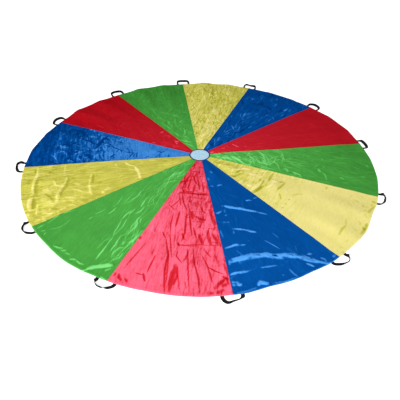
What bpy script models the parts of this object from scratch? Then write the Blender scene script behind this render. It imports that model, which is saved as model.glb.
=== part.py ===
"""A round play parachute, spread out on the floor.

Twelve gores of thin cloth are joined by lapped seams round a net vent. The rim is
hemmed, and each seam carries a loop of webbing there as a handle.
Metres, +Z up. The origin is the middle of the vent, on the floor, and the first
seam runs along +X. Gores and handles are counted anticlockwise from it.
"""

import math

import bmesh
import bpy
from mathutils import Vector
from mathutils.geometry import interpolate_bezier

# Canopy
GORE_COUNT = 12
CANOPY_RADIUS = 1.8
CLOTH_THICKNESS = 0.0008
HEM_WIDTH = 0.028
HEM_LAYERS = 2
HEM_RISE_RUN = 0.004
SEAM_LAP = 0.012
LAP_RISE_RUN = 0.008
CLEARANCE = 0.0003

# Vent: a net disc, and the binding that covers the joint between net and gores
VENT_RADIUS = 0.105
NET_PITCH = 0.0165
NET_CORD_WIDTH = 0.003
NET_THICKNESS = 0.0007
NET_EDGE_WIDTH = 0.005
NET_MARGIN = 0.0008
BINDING_WIDTH = 0.012
BINDING_THICKNESS = 0.0012
BINDING_CHAMFER = 0.0004

# Handles: webbing, sewn under the hem at both ends
WEBBING_WIDTH = 0.03
WEBBING_THICKNESS = 0.0012
HANDLE_SPAN = 0.15
HANDLE_REACH = 0.076
FLAT_RUN = 0.008
TWIST_RUN = 0.045
SEWN_LENGTH = 0.024
END_ROUNDING_SHARE = 0.45

# How the cloth lies: bulges of trapped air inland, ripples at the rim, and the hem
# carried over the sewn ends of the handles
BILLOW_HEIGHT = 0.008
BILLOWS_ALONG = 3
RIPPLE_HEIGHT = 0.016
RIPPLES_ACROSS = 2
RIPPLE_START_SHARE = 0.5
LIFT_RUN = 0.07
LIFT_MARGIN = 0.008

# One share for each gore, anticlockwise from +X
BILLOW_SHARES = (0.4, 0.6, 0.8, 0.5, 0.4, 0.9, 1.0, 0.7, 0.9, 1.0, 0.9, 0.7)
RIPPLE_SHARES = (0.4, 0.5, 0.8, 1.0, 1.0, 0.6, 0.5, 0.3, 0.3, 0.4, 0.5, 0.4)

# One row for each handle, anticlockwise from +X. First, how far from its seam it is
# sewn, as a share of the span. Then the loop's first shoulder, middle and last
# shoulder: how far out, as a share of the reach, how far along, as a share of half the
# span, and how the webbing stands there, where 1 is upright and more leans inwards.
HANDLE_LAY_SHARES = (
    (-0.06, ((0.50, -0.98, 0.30), (0.60, -0.25, 0.60), (0.40, 0.80, 0.70))),
    (-0.08, ((0.72, -0.90, 0.35), (1.02, -0.02, 0.70), (0.78, 0.66, 1.00))),
    (0.00, ((0.82, -0.80, 0.80), (0.84, 0.07, 1.25), (0.98, 0.88, 1.15))),
    (0.00, ((0.92, -0.85, 0.70), (1.08, -0.07, 0.73), (1.00, 0.92, 0.60))),
    (0.00, ((0.80, -0.82, 0.70), (1.15, 0.05, 0.73), (0.98, 0.82, 0.40))),
    (0.00, ((0.76, -0.72, 0.70), (1.00, 0.05, 0.62), (0.66, 0.94, 0.20))),
    (0.05, ((0.84, -0.86, 1.05), (0.90, -0.10, 0.72), (0.62, 0.82, 0.10))),
    (0.06, ((0.52, -0.80, 1.05), (0.98, 0.00, 0.70), (0.76, 0.56, 0.05))),
    (0.00, ((0.66, -0.88, 1.05), (0.95, -0.13, 0.90), (0.66, 0.60, 0.10))),
    (0.00, ((0.74, -0.62, 0.05), (0.68, 0.08, 0.36), (0.52, 0.72, 0.48))),
    (-0.05, ((0.58, -0.62, 0.08), (0.95, 0.26, 0.48), (0.70, 0.82, 1.15))),
    (-0.15, ((0.62, -0.74, 0.42), (0.76, 0.12, 0.72), (0.56, 0.86, 1.20))),
)

# Counts of points
FIELD_ROWS = 10
FIELD_COLUMNS = 6
RUN_POINTS = 6
BINDING_STEPS = 72
END_SEGMENTS = 2
RING_CUT_SIDES = 72

CUT_OVERRUN = 0.01
GORE_ANGLE = 2 * math.pi / GORE_COUNT
HEM_THICKNESS = HEM_LAYERS * CLOTH_THICKNESS
NET_RADIUS = VENT_RADIUS - NET_MARGIN
NET_EDGE_THICKNESS = 2 * CLOTH_THICKNESS + CLEARANCE
TAB_LIFT = WEBBING_THICKNESS + CLEARANCE
SHIFT_SHARE = max(abs(lay[0]) for lay in HANDLE_LAY_SHARES)
HANDLE_ZONE = (1 / 2 + SHIFT_SHARE) * HANDLE_SPAN + WEBBING_WIDTH / 2 + LIFT_MARGIN

COLOURS = {
    "red": (0.60, 0.008, 0.02, 1.0),
    "blue": (0.0, 0.075, 0.33, 1.0),
    "yellow": (0.66, 0.60, 0.08, 1.0),
    "green": (0.045, 0.34, 0.045, 1.0),
}
GORE_COLOURS = ("red", "blue", "yellow", "green")
NET_BLUE = (0.03, 0.14, 0.45, 1.0)
BINDING_NAVY = (0.005, 0.02, 0.07, 1.0)
WEBBING_BLACK = (0.008, 0.008, 0.010, 1.0)


def clear_scene():
    for thing in list(bpy.data.objects):
        bpy.data.objects.remove(thing)


def new_collection(name, shown=True):
    collection = bpy.data.collections.new(name)
    bpy.context.scene.collection.children.link(collection)
    collection.hide_render = not shown
    return collection


def make_material(name, colour, roughness):
    material = bpy.data.materials.new(name)
    material.use_nodes = True
    shader = material.node_tree.nodes["Principled BSDF"]
    shader.inputs["Base Color"].default_value = colour
    shader.inputs["Roughness"].default_value = roughness
    shader.inputs["Metallic"].default_value = 0.0
    return material


def smooth(share):
    """A share from 0 to 1, eased at both ends."""
    held = min(1.0, max(0.0, share))
    return held * held * (3 - 2 * held)


def polar(radius, angle, height):
    return Vector((radius * math.cos(angle), radius * math.sin(angle), height))


def grid_object(name, rows, columns, place, collection, material):
    """A sheet with no thickness, whose point (row, column) lies at place(row, column)."""
    sheet = bmesh.new()
    bmesh.ops.create_grid(sheet, x_segments=rows - 1, y_segments=columns - 1, size=1)
    for point in sheet.verts:
        row = round((point.co.x + 1) / 2 * (rows - 1))
        column = round((point.co.y + 1) / 2 * (columns - 1))
        point.co = place(row, column)
    for face in sheet.faces:
        face.smooth = True
    mesh = bpy.data.meshes.new(name)
    sheet.to_mesh(mesh)
    sheet.free()
    made = bpy.data.objects.new(name, mesh)
    made.data.materials.append(material)
    collection.objects.link(made)
    return made


def group_rows(made, name, rows, columns, chosen):
    """A vertex group of the points in the chosen rows of a grid object."""
    # A grid's points are numbered along X first, and X is what the rows became.
    points = [n for n in range(rows * columns) if n % rows in chosen]
    made.vertex_groups.new(name=name).add(points, 1.0, "REPLACE")


def cloth_lift(gore, radius, along, across, arc):
    """Height of a gore's underside over the floor.

    along is the share of the way from vent to rim, across the share of the way
    between the two handle zones, and arc the distance to the nearer seam.
    """
    billow = math.sin(math.pi * across) ** 2 * math.sin(BILLOWS_ALONG * math.pi * along) ** 2
    ripple = math.sin(RIPPLES_ACROSS * math.pi * across) ** 2
    ripple *= smooth((along - RIPPLE_START_SHARE) / (1 - RIPPLE_START_SHARE))
    hem_foot = CANOPY_RADIUS - HEM_WIDTH - HEM_RISE_RUN
    near_hem = smooth((radius - hem_foot + LIFT_RUN) / LIFT_RUN)
    near_seam = 1 - smooth((arc - HANDLE_ZONE) / LIFT_RUN)
    return (
        BILLOW_HEIGHT * BILLOW_SHARES[gore] * billow
        + RIPPLE_HEIGHT * RIPPLE_SHARES[gore] * ripple
        + TAB_LIFT * near_hem * near_seam
    )


def gore_rows():
    """Radii of the rows of a gore, from the vent to the rim."""
    inner = VENT_RADIUS + CLEARANCE
    hem_foot = CANOPY_RADIUS - HEM_WIDTH - HEM_RISE_RUN
    first, last = inner + BINDING_WIDTH, hem_foot - LIFT_RUN
    field = [first + (last - first) * n / FIELD_ROWS for n in range(FIELD_ROWS + 1)]
    return [inner, *field, hem_foot, CANOPY_RADIUS - HEM_WIDTH, CANOPY_RADIUS]


def gore_columns(radius, thickness):
    """Across a gore at one radius: (angle, share between handle zones, rise onto the lap).

    The first edge is tucked under the gore before. The last is carried over the
    gore after it, with CLEARANCE between the two.
    """
    half_lap = SEAM_LAP / 2
    tucked = -math.asin(half_lap / radius)
    foot = math.asin((half_lap + CLEARANCE + LAP_RISE_RUN) / radius)
    top = math.asin((half_lap + CLEARANCE) / radius)
    rim_foot = (half_lap + CLEARANCE + LAP_RISE_RUN) / CANOPY_RADIUS
    zone_share = (HANDLE_ZONE / CANOPY_RADIUS - rim_foot) / (GORE_ANGLE - 2 * rim_foot)
    between = [n / FIELD_COLUMNS for n in range(FIELD_COLUMNS + 1)]
    shares = [0.0, *(zone_share + (1 - 2 * zone_share) * b for b in between), 1.0]
    places = [0.0, *between, 1.0]
    field = GORE_ANGLE - 2 * foot
    rise = thickness + CLEARANCE
    return [
        (tucked, 0.0, 0.0),
        *((foot + field * s, b, 0.0) for s, b in zip(shares, places)),
        (GORE_ANGLE - top, 1.0, rise),
        (GORE_ANGLE + math.asin(half_lap / radius), 1.0, rise),
    ]


def make_gore(gore, collection, material):
    """One gore: thin cloth, twice as thick at the hem, lapped over the next gore."""
    colour = GORE_COLOURS[gore % len(GORE_COLOURS)]
    name = f"gore_{colour}_{gore // len(GORE_COLOURS) + 1}"
    radii = gore_rows()
    hem_rows = (len(radii) - 2, len(radii) - 1)
    start = gore * GORE_ANGLE
    across = [
        gore_columns(radius, HEM_THICKNESS if row in hem_rows else CLOTH_THICKNESS)
        for row, radius in enumerate(radii)
    ]

    def place(row, column):
        radius = radii[row]
        angle, share, rise = across[row][column]
        along = (radius - radii[0]) / (radii[-1] - radii[0])
        arc = radius * min(abs(angle), abs(GORE_ANGLE - angle))
        lift = cloth_lift(gore, radius, along, share, arc)
        return polar(radius, start + angle, lift + rise)

    rows, columns = len(radii), len(across[0])
    made = grid_object(name, rows, columns, place, collection, material)
    group_rows(made, "hem", rows, columns, hem_rows)
    cloth = made.modifiers.new("cloth", "SOLIDIFY")
    cloth.offset = 1
    cloth.thickness = HEM_THICKNESS
    cloth.vertex_group = "hem"
    cloth.thickness_vertex_group = CLOTH_THICKNESS / HEM_THICKNESS
    made.modifiers.new("even shading", "WEIGHTED_NORMAL")
    return made


def turned_ring(name, profile, steps, collection, material):
    """A ring turned about Z from a closed profile of (radius, height) points."""
    mesh = bpy.data.meshes.new(name)
    points = [(radius, 0, height) for radius, height in profile]
    edges = [(n, (n + 1) % len(points)) for n in range(len(points))]
    mesh.from_pydata(points, edges, [])
    made = bpy.data.objects.new(name, mesh)
    made.data.materials.append(material)
    collection.objects.link(made)
    screw = made.modifiers.new("turn", "SCREW")
    screw.steps = screw.render_steps = steps
    screw.use_merge_vertices = True
    screw.merge_threshold = CLEARANCE / 10
    return made


def make_binding(collection, material):
    """The tape that covers the gores' inner ends and the net's edge."""
    low = 2 * CLOTH_THICKNESS + 2 * CLEARANCE
    high = low + BINDING_THICKNESS
    inner = VENT_RADIUS - BINDING_WIDTH / 2
    outer = VENT_RADIUS + BINDING_WIDTH / 2
    profile = (
        (outer, high - BINDING_CHAMFER),
        (outer, low),
        (inner, low),
        (inner, high - BINDING_CHAMFER),
        (inner + BINDING_CHAMFER, high),
        (outer - BINDING_CHAMFER, high),
    )
    return turned_ring("vent_binding", profile, BINDING_STEPS, collection, material)


def make_net(collection, cutters, material):
    """The vent's net: a lattice of cords cut round, joined to a plain woven edge."""
    edge_inner = NET_RADIUS - NET_EDGE_WIDTH
    edge_profile = (
        (NET_RADIUS, NET_EDGE_THICKNESS),
        (NET_RADIUS, 0),
        (edge_inner, 0),
        (edge_inner, NET_EDGE_THICKNESS),
    )
    edge = turned_ring("net_edge", edge_profile, RING_CUT_SIDES, cutters, material)

    cut_radius = NET_RADIUS - NET_EDGE_WIDTH / 2
    bpy.ops.mesh.primitive_cylinder_add(
        vertices=RING_CUT_SIDES, radius=cut_radius, depth=2 * CUT_OVERRUN
    )
    disc = bpy.context.object
    disc.name = "net_round_cut"
    for home in list(disc.users_collection):
        home.objects.unlink(disc)
    cutters.objects.link(disc)

    cells = 2 * math.ceil(NET_RADIUS / NET_PITCH) + 1
    lattice = bmesh.new()
    bmesh.ops.create_grid(
        lattice, x_segments=cells, y_segments=cells, size=cells * NET_PITCH / 2
    )
    gaps = list(lattice.faces)
    bmesh.ops.inset_individual(
        lattice, faces=gaps, thickness=NET_CORD_WIDTH / 2, use_even_offset=True
    )
    bmesh.ops.delete(lattice, geom=gaps, context="FACES")
    mesh = bpy.data.meshes.new("vent_net")
    lattice.to_mesh(mesh)
    lattice.free()
    net = bpy.data.objects.new("vent_net", mesh)
    net.data.materials.append(material)
    net.location.z = (NET_EDGE_THICKNESS - NET_THICKNESS) / 2
    collection.objects.link(net)

    cord = net.modifiers.new("cord", "SOLIDIFY")
    cord.offset = 1
    cord.thickness = NET_THICKNESS
    for name, operation, tool in (
        ("round", "INTERSECT", disc),
        ("edge", "UNION", edge),
    ):
        join = net.modifiers.new(name, "BOOLEAN")
        join.operation = operation
        join.object = tool
    for tool in (disc, edge):
        tool.hide_render = True
        tool.display_type = "WIRE"
    return net


def hinge_radius():
    """Distance from the vent's middle to the line on which the handles swing."""
    inner_side = (HANDLE_SPAN - WEBBING_WIDTH) / 2
    hem_edge = math.sqrt(CANOPY_RADIUS**2 - inner_side**2)
    return hem_edge + CLEARANCE + WEBBING_THICKNESS / 2


def loop_line(points):
    """The loop's middle line in plan, from sewn end to sewn end."""
    half = HANDLE_SPAN / 2
    inner = -WEBBING_THICKNESS / 2
    knots = [
        Vector((inner, -half)),
        Vector((FLAT_RUN, -half)),
        *(Vector((out * HANDLE_REACH, along * half)) for out, along, _ in points),
        Vector((FLAT_RUN, half)),
        Vector((inner, half)),
    ]
    headings = [knots[n + 1] - knots[n - 1] for n in range(2, len(knots) - 2)]
    straight_out = Vector((FLAT_RUN, 0))
    headings = [straight_out, *headings, -straight_out]
    line = knots[:1]
    for n, (start, end) in enumerate(zip(knots[1:-2], knots[2:-1])):
        pull = (end - start).length / 3
        leaving = start + headings[n].normalized() * pull
        arriving = end - headings[n + 1].normalized() * pull
        run = interpolate_bezier(start, leaving, arriving, end, RUN_POINTS)
        line += run[1:] if n else run
    return line + knots[-1:]


def loop_lean(points, gone, length):
    """Angle of the webbing's width from the floor, at a distance along the loop."""
    place = gone / length * (len(points) + 1) - 1
    first = min(len(points) - 2, max(0, math.floor(place)))
    mix = smooth(place - first)
    upright = points[first][2] * (1 - mix) + points[first + 1][2] * mix
    twisted = min(gone, length - gone) - WEBBING_THICKNESS / 2 - FLAT_RUN
    return upright * math.pi / 2 * smooth(twisted / TWIST_RUN)


def make_loop(name, points, collection, material):
    """A handle's free loop: flat where it leaves the hem, twisted on edge beyond it."""
    line = loop_line(points)
    gone = [0.0]
    for start, end in zip(line, line[1:]):
        gone.append(gone[-1] + (end - start).length)
    last = len(line) - 1

    def place(row, column):
        onward = (line[min(row + 1, last)] - line[max(row - 1, 0)]).normalized()
        lean = loop_lean(points, gone[row], gone[-1])
        width = Vector((onward.y, -onward.x, 0)) * math.cos(lean)
        width.z = math.sin(lean)
        half_high = abs(math.sin(lean)) * WEBBING_WIDTH / 2
        half_high += abs(math.cos(lean)) * WEBBING_THICKNESS / 2
        middle = Vector((*line[row], half_high - WEBBING_THICKNESS / 2))
        return middle + width * (column - 1 / 2) * WEBBING_WIDTH

    made = grid_object(name, len(line), 2, place, collection, material)
    group_rows(made, "ends", len(line), 2, (0, last))
    weave = made.modifiers.new("webbing", "SOLIDIFY")
    weave.offset = 0
    weave.thickness = WEBBING_THICKNESS
    rounding = made.modifiers.new("rolled ends", "BEVEL")
    rounding.limit_method = "VGROUP"
    rounding.vertex_group = "ends"
    rounding.width = END_ROUNDING_SHARE * WEBBING_THICKNESS
    rounding.segments = END_SEGMENTS
    made.modifiers.new("even shading", "WEIGHTED_NORMAL")
    return made


def make_sewn_end(name, side, collection, material):
    """The flat end of a handle's webbing, sewn under the hem."""
    bpy.ops.mesh.primitive_cube_add(size=1)
    made = bpy.context.object
    made.name = name
    outer = -WEBBING_THICKNESS / 2 - CLEARANCE
    for point in made.data.vertices:
        point.co.x = outer + (point.co.x - 1 / 2) * SEWN_LENGTH
        point.co.y = side * HANDLE_SPAN / 2 + point.co.y * WEBBING_WIDTH
        point.co.z *= WEBBING_THICKNESS
    for home in list(made.users_collection):
        home.objects.unlink(made)
    made.data.materials.append(material)
    collection.objects.link(made)
    return made


def make_handle(number, collection, material):
    """A handle at one seam, on an empty whose Y axis is the line on which it swings."""
    shift_share, points = HANDLE_LAY_SHARES[number % len(HANDLE_LAY_SHARES)]
    angle = number * GORE_ANGLE + shift_share * HANDLE_SPAN / CANOPY_RADIUS
    label = f"{number + 1:02d}"
    seat = bpy.data.objects.new(f"handle_seat_{label}", None)
    seat.location = polar(hinge_radius(), angle, WEBBING_THICKNESS / 2)
    seat.rotation_euler.z = angle
    collection.objects.link(seat)
    pieces = (
        make_loop(f"handle_loop_{label}", points, collection, material),
        make_sewn_end(f"handle_end_{label}_a", -1, collection, material),
        make_sewn_end(f"handle_end_{label}_b", 1, collection, material),
    )
    for piece in pieces:
        piece.parent = seat


def main():
    clear_scene()
    parachute = new_collection("play_parachute")
    cutters = new_collection("cutters", shown=False)
    cloths = {name: make_material(name, rgb, 0.35) for name, rgb in COLOURS.items()}
    net_blue = make_material("net_blue", NET_BLUE, 0.6)
    navy = make_material("binding_navy", BINDING_NAVY, 0.6)
    black = make_material("webbing_black", WEBBING_BLACK, 0.7)
    for gore in range(GORE_COUNT):
        make_gore(gore, parachute, cloths[GORE_COLOURS[gore % len(GORE_COLOURS)]])
    make_net(parachute, cutters, net_blue)
    make_binding(parachute, navy)
    for number in range(GORE_COUNT):
        make_handle(number, parachute, black)


main()
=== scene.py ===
# %% [markdown]
# # A play parachute, spread on the floor
#
# A play parachute is a round sheet of thin, shiny nylon, sewn from wedges called
# gores. A group holds it by the webbing handles round its rim. Here it lies flat,
# with the creases of having been folded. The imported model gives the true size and
# place of each piece. This script lays a finely creased and sewn skin over it.

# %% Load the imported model
import math

import bmesh
import bpy
import numpy as np
from mathutils import Matrix, Vector
from mathutils.geometry import interpolate_bezier


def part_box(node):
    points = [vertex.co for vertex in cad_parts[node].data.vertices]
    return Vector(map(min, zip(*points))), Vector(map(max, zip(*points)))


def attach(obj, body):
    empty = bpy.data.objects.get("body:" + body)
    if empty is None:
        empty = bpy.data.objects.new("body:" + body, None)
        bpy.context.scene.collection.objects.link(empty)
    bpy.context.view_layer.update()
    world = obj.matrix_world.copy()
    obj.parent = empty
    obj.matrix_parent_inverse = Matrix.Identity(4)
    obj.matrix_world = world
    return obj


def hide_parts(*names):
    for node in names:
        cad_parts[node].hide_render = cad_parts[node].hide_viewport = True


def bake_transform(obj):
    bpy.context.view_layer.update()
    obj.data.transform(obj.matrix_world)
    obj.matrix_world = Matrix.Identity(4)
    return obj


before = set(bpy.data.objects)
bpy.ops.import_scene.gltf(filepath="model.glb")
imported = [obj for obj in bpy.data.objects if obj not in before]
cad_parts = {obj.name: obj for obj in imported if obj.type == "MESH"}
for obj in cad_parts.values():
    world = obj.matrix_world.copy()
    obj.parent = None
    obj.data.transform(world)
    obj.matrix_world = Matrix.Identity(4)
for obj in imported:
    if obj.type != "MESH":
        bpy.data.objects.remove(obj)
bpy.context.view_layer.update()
print("packed pieces:", len(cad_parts))

# %% [markdown]
# ## Sizes
#
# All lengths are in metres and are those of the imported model, so that each piece
# made here lies where its plain solid does. Angles run anticlockwise from +X, where
# the first seam is, and gore 0 is the one that starts at that seam.

# %% Sizes of the canopy and its trimmings
GORE_COUNT = 12
GORE_ANGLE = 2 * math.pi / GORE_COUNT
CANOPY_RADIUS = 1.8
VENT_RADIUS = 0.105
CLOTH_THICKNESS = 0.0008
HEM_THICKNESS = 2 * CLOTH_THICKNESS
HEM_WIDTH = 0.028
HEM_RISE_RUN = 0.004
SEAM_LAP = 0.012
LAP_RISE_RUN = 0.008
CLEARANCE = 0.0003
BINDING_WIDTH = 0.012
BINDING_THICKNESS = 0.0012
WEBBING_WIDTH = 0.03
WEBBING_THICKNESS = 0.0012
HANDLE_SPAN = 0.15
HANDLE_REACH = 0.076
FLAT_RUN = 0.008
TWIST_RUN = 0.045
SEWN_LENGTH = 0.024
COLOURS = ("red", "blue", "yellow", "green")
MM_PER_METRE = 1000
_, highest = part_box("gore_red_1")
print("a packed gore reaches", round(highest.xy.length, 3), "m from the middle")

# %% [markdown]
# ## Camera
#
# The camera stands where the photographer stood. That place was found by fitting the
# twelve seam ends and the rim between them, which lie on a known circle. It looks down
# at the canopy at about 40 degrees, and is turned by half a degree about its own line
# of sight.

# %% Camera
CAMERA_PLACE = (-0.4603, -3.4057, 2.3037)
CAMERA_HEADING = (0.1360, 0.9907, 0.0)
CAMERA_PITCH = math.radians(40.485)
CAMERA_ROLL = math.radians(0.501)
SENSOR_WIDTH_MM = 36
LENS_MM = 34.69


def photographers_camera():
    heading = Vector(CAMERA_HEADING).normalized()
    ahead = heading * math.cos(CAMERA_PITCH) - Vector((0, 0, math.sin(CAMERA_PITCH)))
    level_right = ahead.cross(Vector((0, 0, 1))).normalized()
    level_up = level_right.cross(ahead)
    right = level_right * math.cos(CAMERA_ROLL) + level_up * math.sin(CAMERA_ROLL)
    up = level_up * math.cos(CAMERA_ROLL) - level_right * math.sin(CAMERA_ROLL)
    lens = bpy.data.cameras.new("photographer")
    lens.sensor_width, lens.lens = SENSOR_WIDTH_MM, LENS_MM
    lens.clip_start, lens.clip_end = 0.05, 100
    camera = bpy.data.objects.new("photographer", lens)
    turned = Matrix((right, up, -ahead)).transposed().to_4x4()
    camera.matrix_world = Matrix.Translation(CAMERA_PLACE) @ turned
    bpy.context.scene.collection.objects.link(camera)
    return camera


bpy.context.scene.camera = photographers_camera()
bpy.context.scene.view_settings.view_transform = "Standard"
print("camera height", round(bpy.context.scene.camera.location.z, 3), "m")

# %% [markdown]
# ## Writing node trees as sums
#
# A finish or a row of stitches is a tree of nodes. Adding nodes one by one hides what
# they work out, so two small helpers let a tree be read as a sum. `Wire` stands for
# the output of a node: adding or multiplying two wires adds a Math node. `Tree.node`
# adds any other node, with its settings first and its sockets after.


# %% Wires
class Wire:
    """An output socket that can be used in sums."""

    def __init__(self, tree, socket):
        self.tree = tree
        self.socket = socket

    def maths(self, operation, *values, clamp=False):
        settings = {"operation": operation, "use_clamp": clamp}
        return self.tree.node("ShaderNodeMath", settings, dict(enumerate(values)))

    def maths_on(self, operation, *others):
        return self.maths(operation, self, *others)

    def __add__(self, other):
        return self.maths("ADD", self, other)

    def __sub__(self, other):
        return self.maths("SUBTRACT", self, other)

    def __rsub__(self, other):
        return self.maths("SUBTRACT", other, self)

    def __mul__(self, other):
        return self.maths("MULTIPLY", self, other)

    __radd__ = __add__
    __rmul__ = __mul__

    def __truediv__(self, other):
        return self.maths("DIVIDE", self, other)

    def sine(self):
        return self.maths_on("SINE")

    def size(self):
        return self.maths_on("ABSOLUTE")

    def held(self):
        """The same number, held between 0 and 1."""
        return self.maths("ADD", self, 0.0, clamp=True)


print("sums of wires: +, -, * and /")


# %% Trees
class Tree:
    """A node tree, and the one way in which nodes are added to it."""

    def __init__(self, tree):
        self.tree = tree
        self.tree.nodes.clear()

    def node(self, kind, settings=None, inputs=None, output=0):
        made = self.tree.nodes.new(kind)
        made.location.x = 180 * len(self.tree.nodes)
        for name, value in (settings or {}).items():
            if name == "stops":
                stops = made.color_ramp.elements
                while len(stops) < len(value):
                    stops.new(1.0)
                for stop, (place, colour) in zip(stops, value):
                    stop.position, stop.color = place, colour
            else:
                setattr(made, name, value)
        for name, value in (inputs or {}).items():
            for one in value if isinstance(value, list) else [value]:
                if isinstance(one, Wire):
                    self.tree.links.new(one.socket, made.inputs[name])
                else:
                    made.inputs[name].default_value = one
        return Wire(self, made.outputs[output]) if made.outputs else None


def new_finish(name):
    """A material and its empty tree."""
    material = bpy.data.materials.new(name)
    material.use_nodes = True
    return material, Tree(material.node_tree)


def rays_that_see_white(tree):
    """1 for the camera's own rays and for mirrored or bent ones, and 0 for others."""
    total = 0.0
    for kind in ("Is Camera Ray", "Is Glossy Ray", "Is Transmission Ray"):
        total = tree.node("ShaderNodeLightPath", output=kind) + total
    return total.held()


print("helpers ready")

# %% [markdown]
# ## Light and floor
#
# Nylon cloth shows its creases only when light rakes across it, so one large soft lamp
# stands low, in front and to the left, and an even pale sky fills the rest. Together
# they light the middle of the canopy at a level of 1, so a colour renders about as it
# is written. A lamp of P watts at a distance r, and at a height z over level white
# cloth, makes that cloth P * z / (pi^2 * r^3) bright, which gives the lamp its power.
# The lamp is nearer to the front, and the far rim is a little darker.

# %% Lamp, sky and floor
SKY_SHARE = 0.45
LAMP_PLACE = Vector((-7.0, -9.0, 5.8))
LAMP_SIZE = 3.5
FLOOR_SIZE = 40.0
FLOOR_WHITE = (0.8, 0.8, 0.8, 1.0)
FLOOR_GLOW = 0.68


def soft_lamp():
    lamp = bpy.data.lights.new("soft lamp", "AREA")
    lamp.shape, lamp.size = "DISK", LAMP_SIZE
    away = LAMP_PLACE.length
    lamp.energy = (1 - SKY_SHARE) * math.pi**2 * away**3 / LAMP_PLACE.z
    holder = bpy.data.objects.new("soft lamp", lamp)
    holder.location = LAMP_PLACE
    holder.rotation_mode = "QUATERNION"
    holder.rotation_quaternion = (-LAMP_PLACE).to_track_quat("-Z", "Y")
    bpy.context.scene.collection.objects.link(holder)
    return lamp.energy


def pale_sky():
    sky = bpy.data.worlds.new("pale sky")
    sky.use_nodes = True
    bpy.context.scene.world = sky
    tree = Tree(sky.node_tree)
    strength = rays_that_see_white(tree) * (1 - SKY_SHARE) + SKY_SHARE
    white = (1.0, 1.0, 1.0, 1.0)
    glow = tree.node("ShaderNodeBackground", None, {"Color": white, "Strength": strength})
    tree.node("ShaderNodeOutputWorld", None, {"Surface": glow})


def pale_floor():
    material, tree = new_finish("pale floor")
    matt = tree.node("ShaderNodeBsdfDiffuse", None, {"Color": FLOOR_WHITE})
    glow = rays_that_see_white(tree) * FLOOR_GLOW
    lit = tree.node("ShaderNodeEmission", None, {"Strength": glow})
    both = tree.node("ShaderNodeAddShader", None, {0: matt, 1: lit})
    tree.node("ShaderNodeOutputMaterial", None, {"Surface": both})
    ground = bmesh.new()
    bmesh.ops.create_grid(ground, x_segments=1, y_segments=1, size=FLOOR_SIZE / 2)
    mesh = bpy.data.meshes.new("floor")
    ground.to_mesh(mesh)
    ground.free()
    mesh.materials.append(material)
    floor = bpy.data.objects.new("floor", mesh)
    bpy.context.scene.collection.objects.link(floor)


pale_sky()
pale_floor()
print("lamp", round(soft_lamp()), "W")

# %% [markdown]
# ## The nylon's finish
#
# Dyed nylon is woven from smooth, flat threads. Where a crease turns the cloth towards
# the light it shines paler, and where it turns away only the deep dye shows. That
# sheen is painted into the colour here. Each gore's mesh gives its painted sheen at
# every point, as an attribute called `lustre`. Two more say how strongly painted shade
# in dark folds (`crumple`) and painted highlight in pale ones (`glint`) mark it, where
# the folds are too fine for the mesh; they also set how deep those folds' bump is. The
# finish draws those folds as ridges of noise, which run on and fork as real creases do,
# between facets of a Voronoi pattern that carry painted shade and highlight at random.
# The UV map `grain` turns them to the way in which that gore was crushed, and the map
# `cut` carries the weave.
#
# A row of `FOLDS` is one family of ridges: its length across and along the grain in
# metres, its own place in the noise, its sharpness and its detail. Noise gates the
# short ones, so that they come in patches. Each `_SIZE` is how far a patch of another
# noise reaches across and along. The weights in the sums were tuned.

# %% The dyes, and the noise that the finish is made of
WEAVE_PITCH = 0.0016
WEAVE_DEPTH = 0.00005
CRINKLE_DEPTH = 0.0012
FOLDS = {
    "long": (0.050, 0.42, 3.1, 22, 2.0),
    "short": (0.030, 0.13, 7.7, 16, 2.0),
    "cross": (0.11, 0.035, 5.3, 20, 2.0),
    "pale": (0.040, 0.30, 1.7, 26, 3.0),
    "fine": (0.020, 0.10, 9.2, 18, 2.0),
}
GATE_SIZE = (0.10, 0.20)
GATE_SHARPNESS = 7
PANE_SIZE = (0.055, 0.20)
CHIP_SIZE = (0.024, 0.06)
CHIPS_APART = 2.4
HAZE_SIZE = (0.12, 0.12)
MOTTLE_SIZE = (0.012, 0.06)
CLOTH_ROUGHNESS = 0.5
POLISH = 0.14
# Each dye has a deep shade, a middle one and a pale one. The pale one is the colour of painted
# sheen, and the finish paints between them.
DYES = {
    "red": ((168, 13, 24), (214, 40, 56), (255, 114, 144)),
    "blue": ((0, 54, 120), (6, 84, 164), (80, 160, 240)),
    "yellow": ((166, 163, 50), (210, 204, 92), (246, 231, 152)),
    "green": ((48, 119, 40), (84, 177, 76), (124, 217, 124)),
}


def linear(rgb):
    """A screen colour from 0 to 255, as the light that it stands for."""
    shares = [part / 255 for part in rgb]
    light = [s / 12.92 if s < 0.04045 else ((s + 0.055) / 1.055) ** 2.4 for s in shares]
    return (*light, 1.0)


def stretched(tree, place, across, along, apart=0.0):
    """The same place measured in units that are longer one way than the other."""
    settings = {"Vector": place, "Scale": (1 / across, 1 / along, 1.0)}
    settings["Location"] = (apart, apart, 0.0)
    return tree.node("ShaderNodeMapping", None, settings)


def cloudy(tree, place, detail):
    """Smooth noise about zero, with patches one unit across."""
    inputs = {"Vector": place, "Scale": 1.0, "Detail": detail}
    return tree.node("ShaderNodeTexNoise", None, inputs) - 0.5


def ridges(tree, grain, across, along, apart, sharpness, detail):
    """Lines that run on and fork: 1 where smooth noise crosses zero."""
    noise = cloudy(tree, stretched(tree, grain, across, along, apart), detail)
    return (1 - noise.size() * sharpness).held()


def facets(tree, place):
    """Crumpled facets, each with a random value, used as painted shade and highlight and as
    bump.
    """
    stray = {"Vector": place, "Scale": 0.8, "Detail": 3.0}
    stray = tree.node("ShaderNodeTexNoise", None, stray, "Color")
    mixed = {"Factor": 0.45, 4: place, 5: stray}
    bent = tree.node("ShaderNodeMix", {"data_type": "VECTOR"}, mixed, output=1)
    cells = {"Vector": bent, "Scale": 1.6}
    return tree.node("ShaderNodeTexVoronoi", {"feature": "F1"}, cells, "Color") - 0.5


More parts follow.
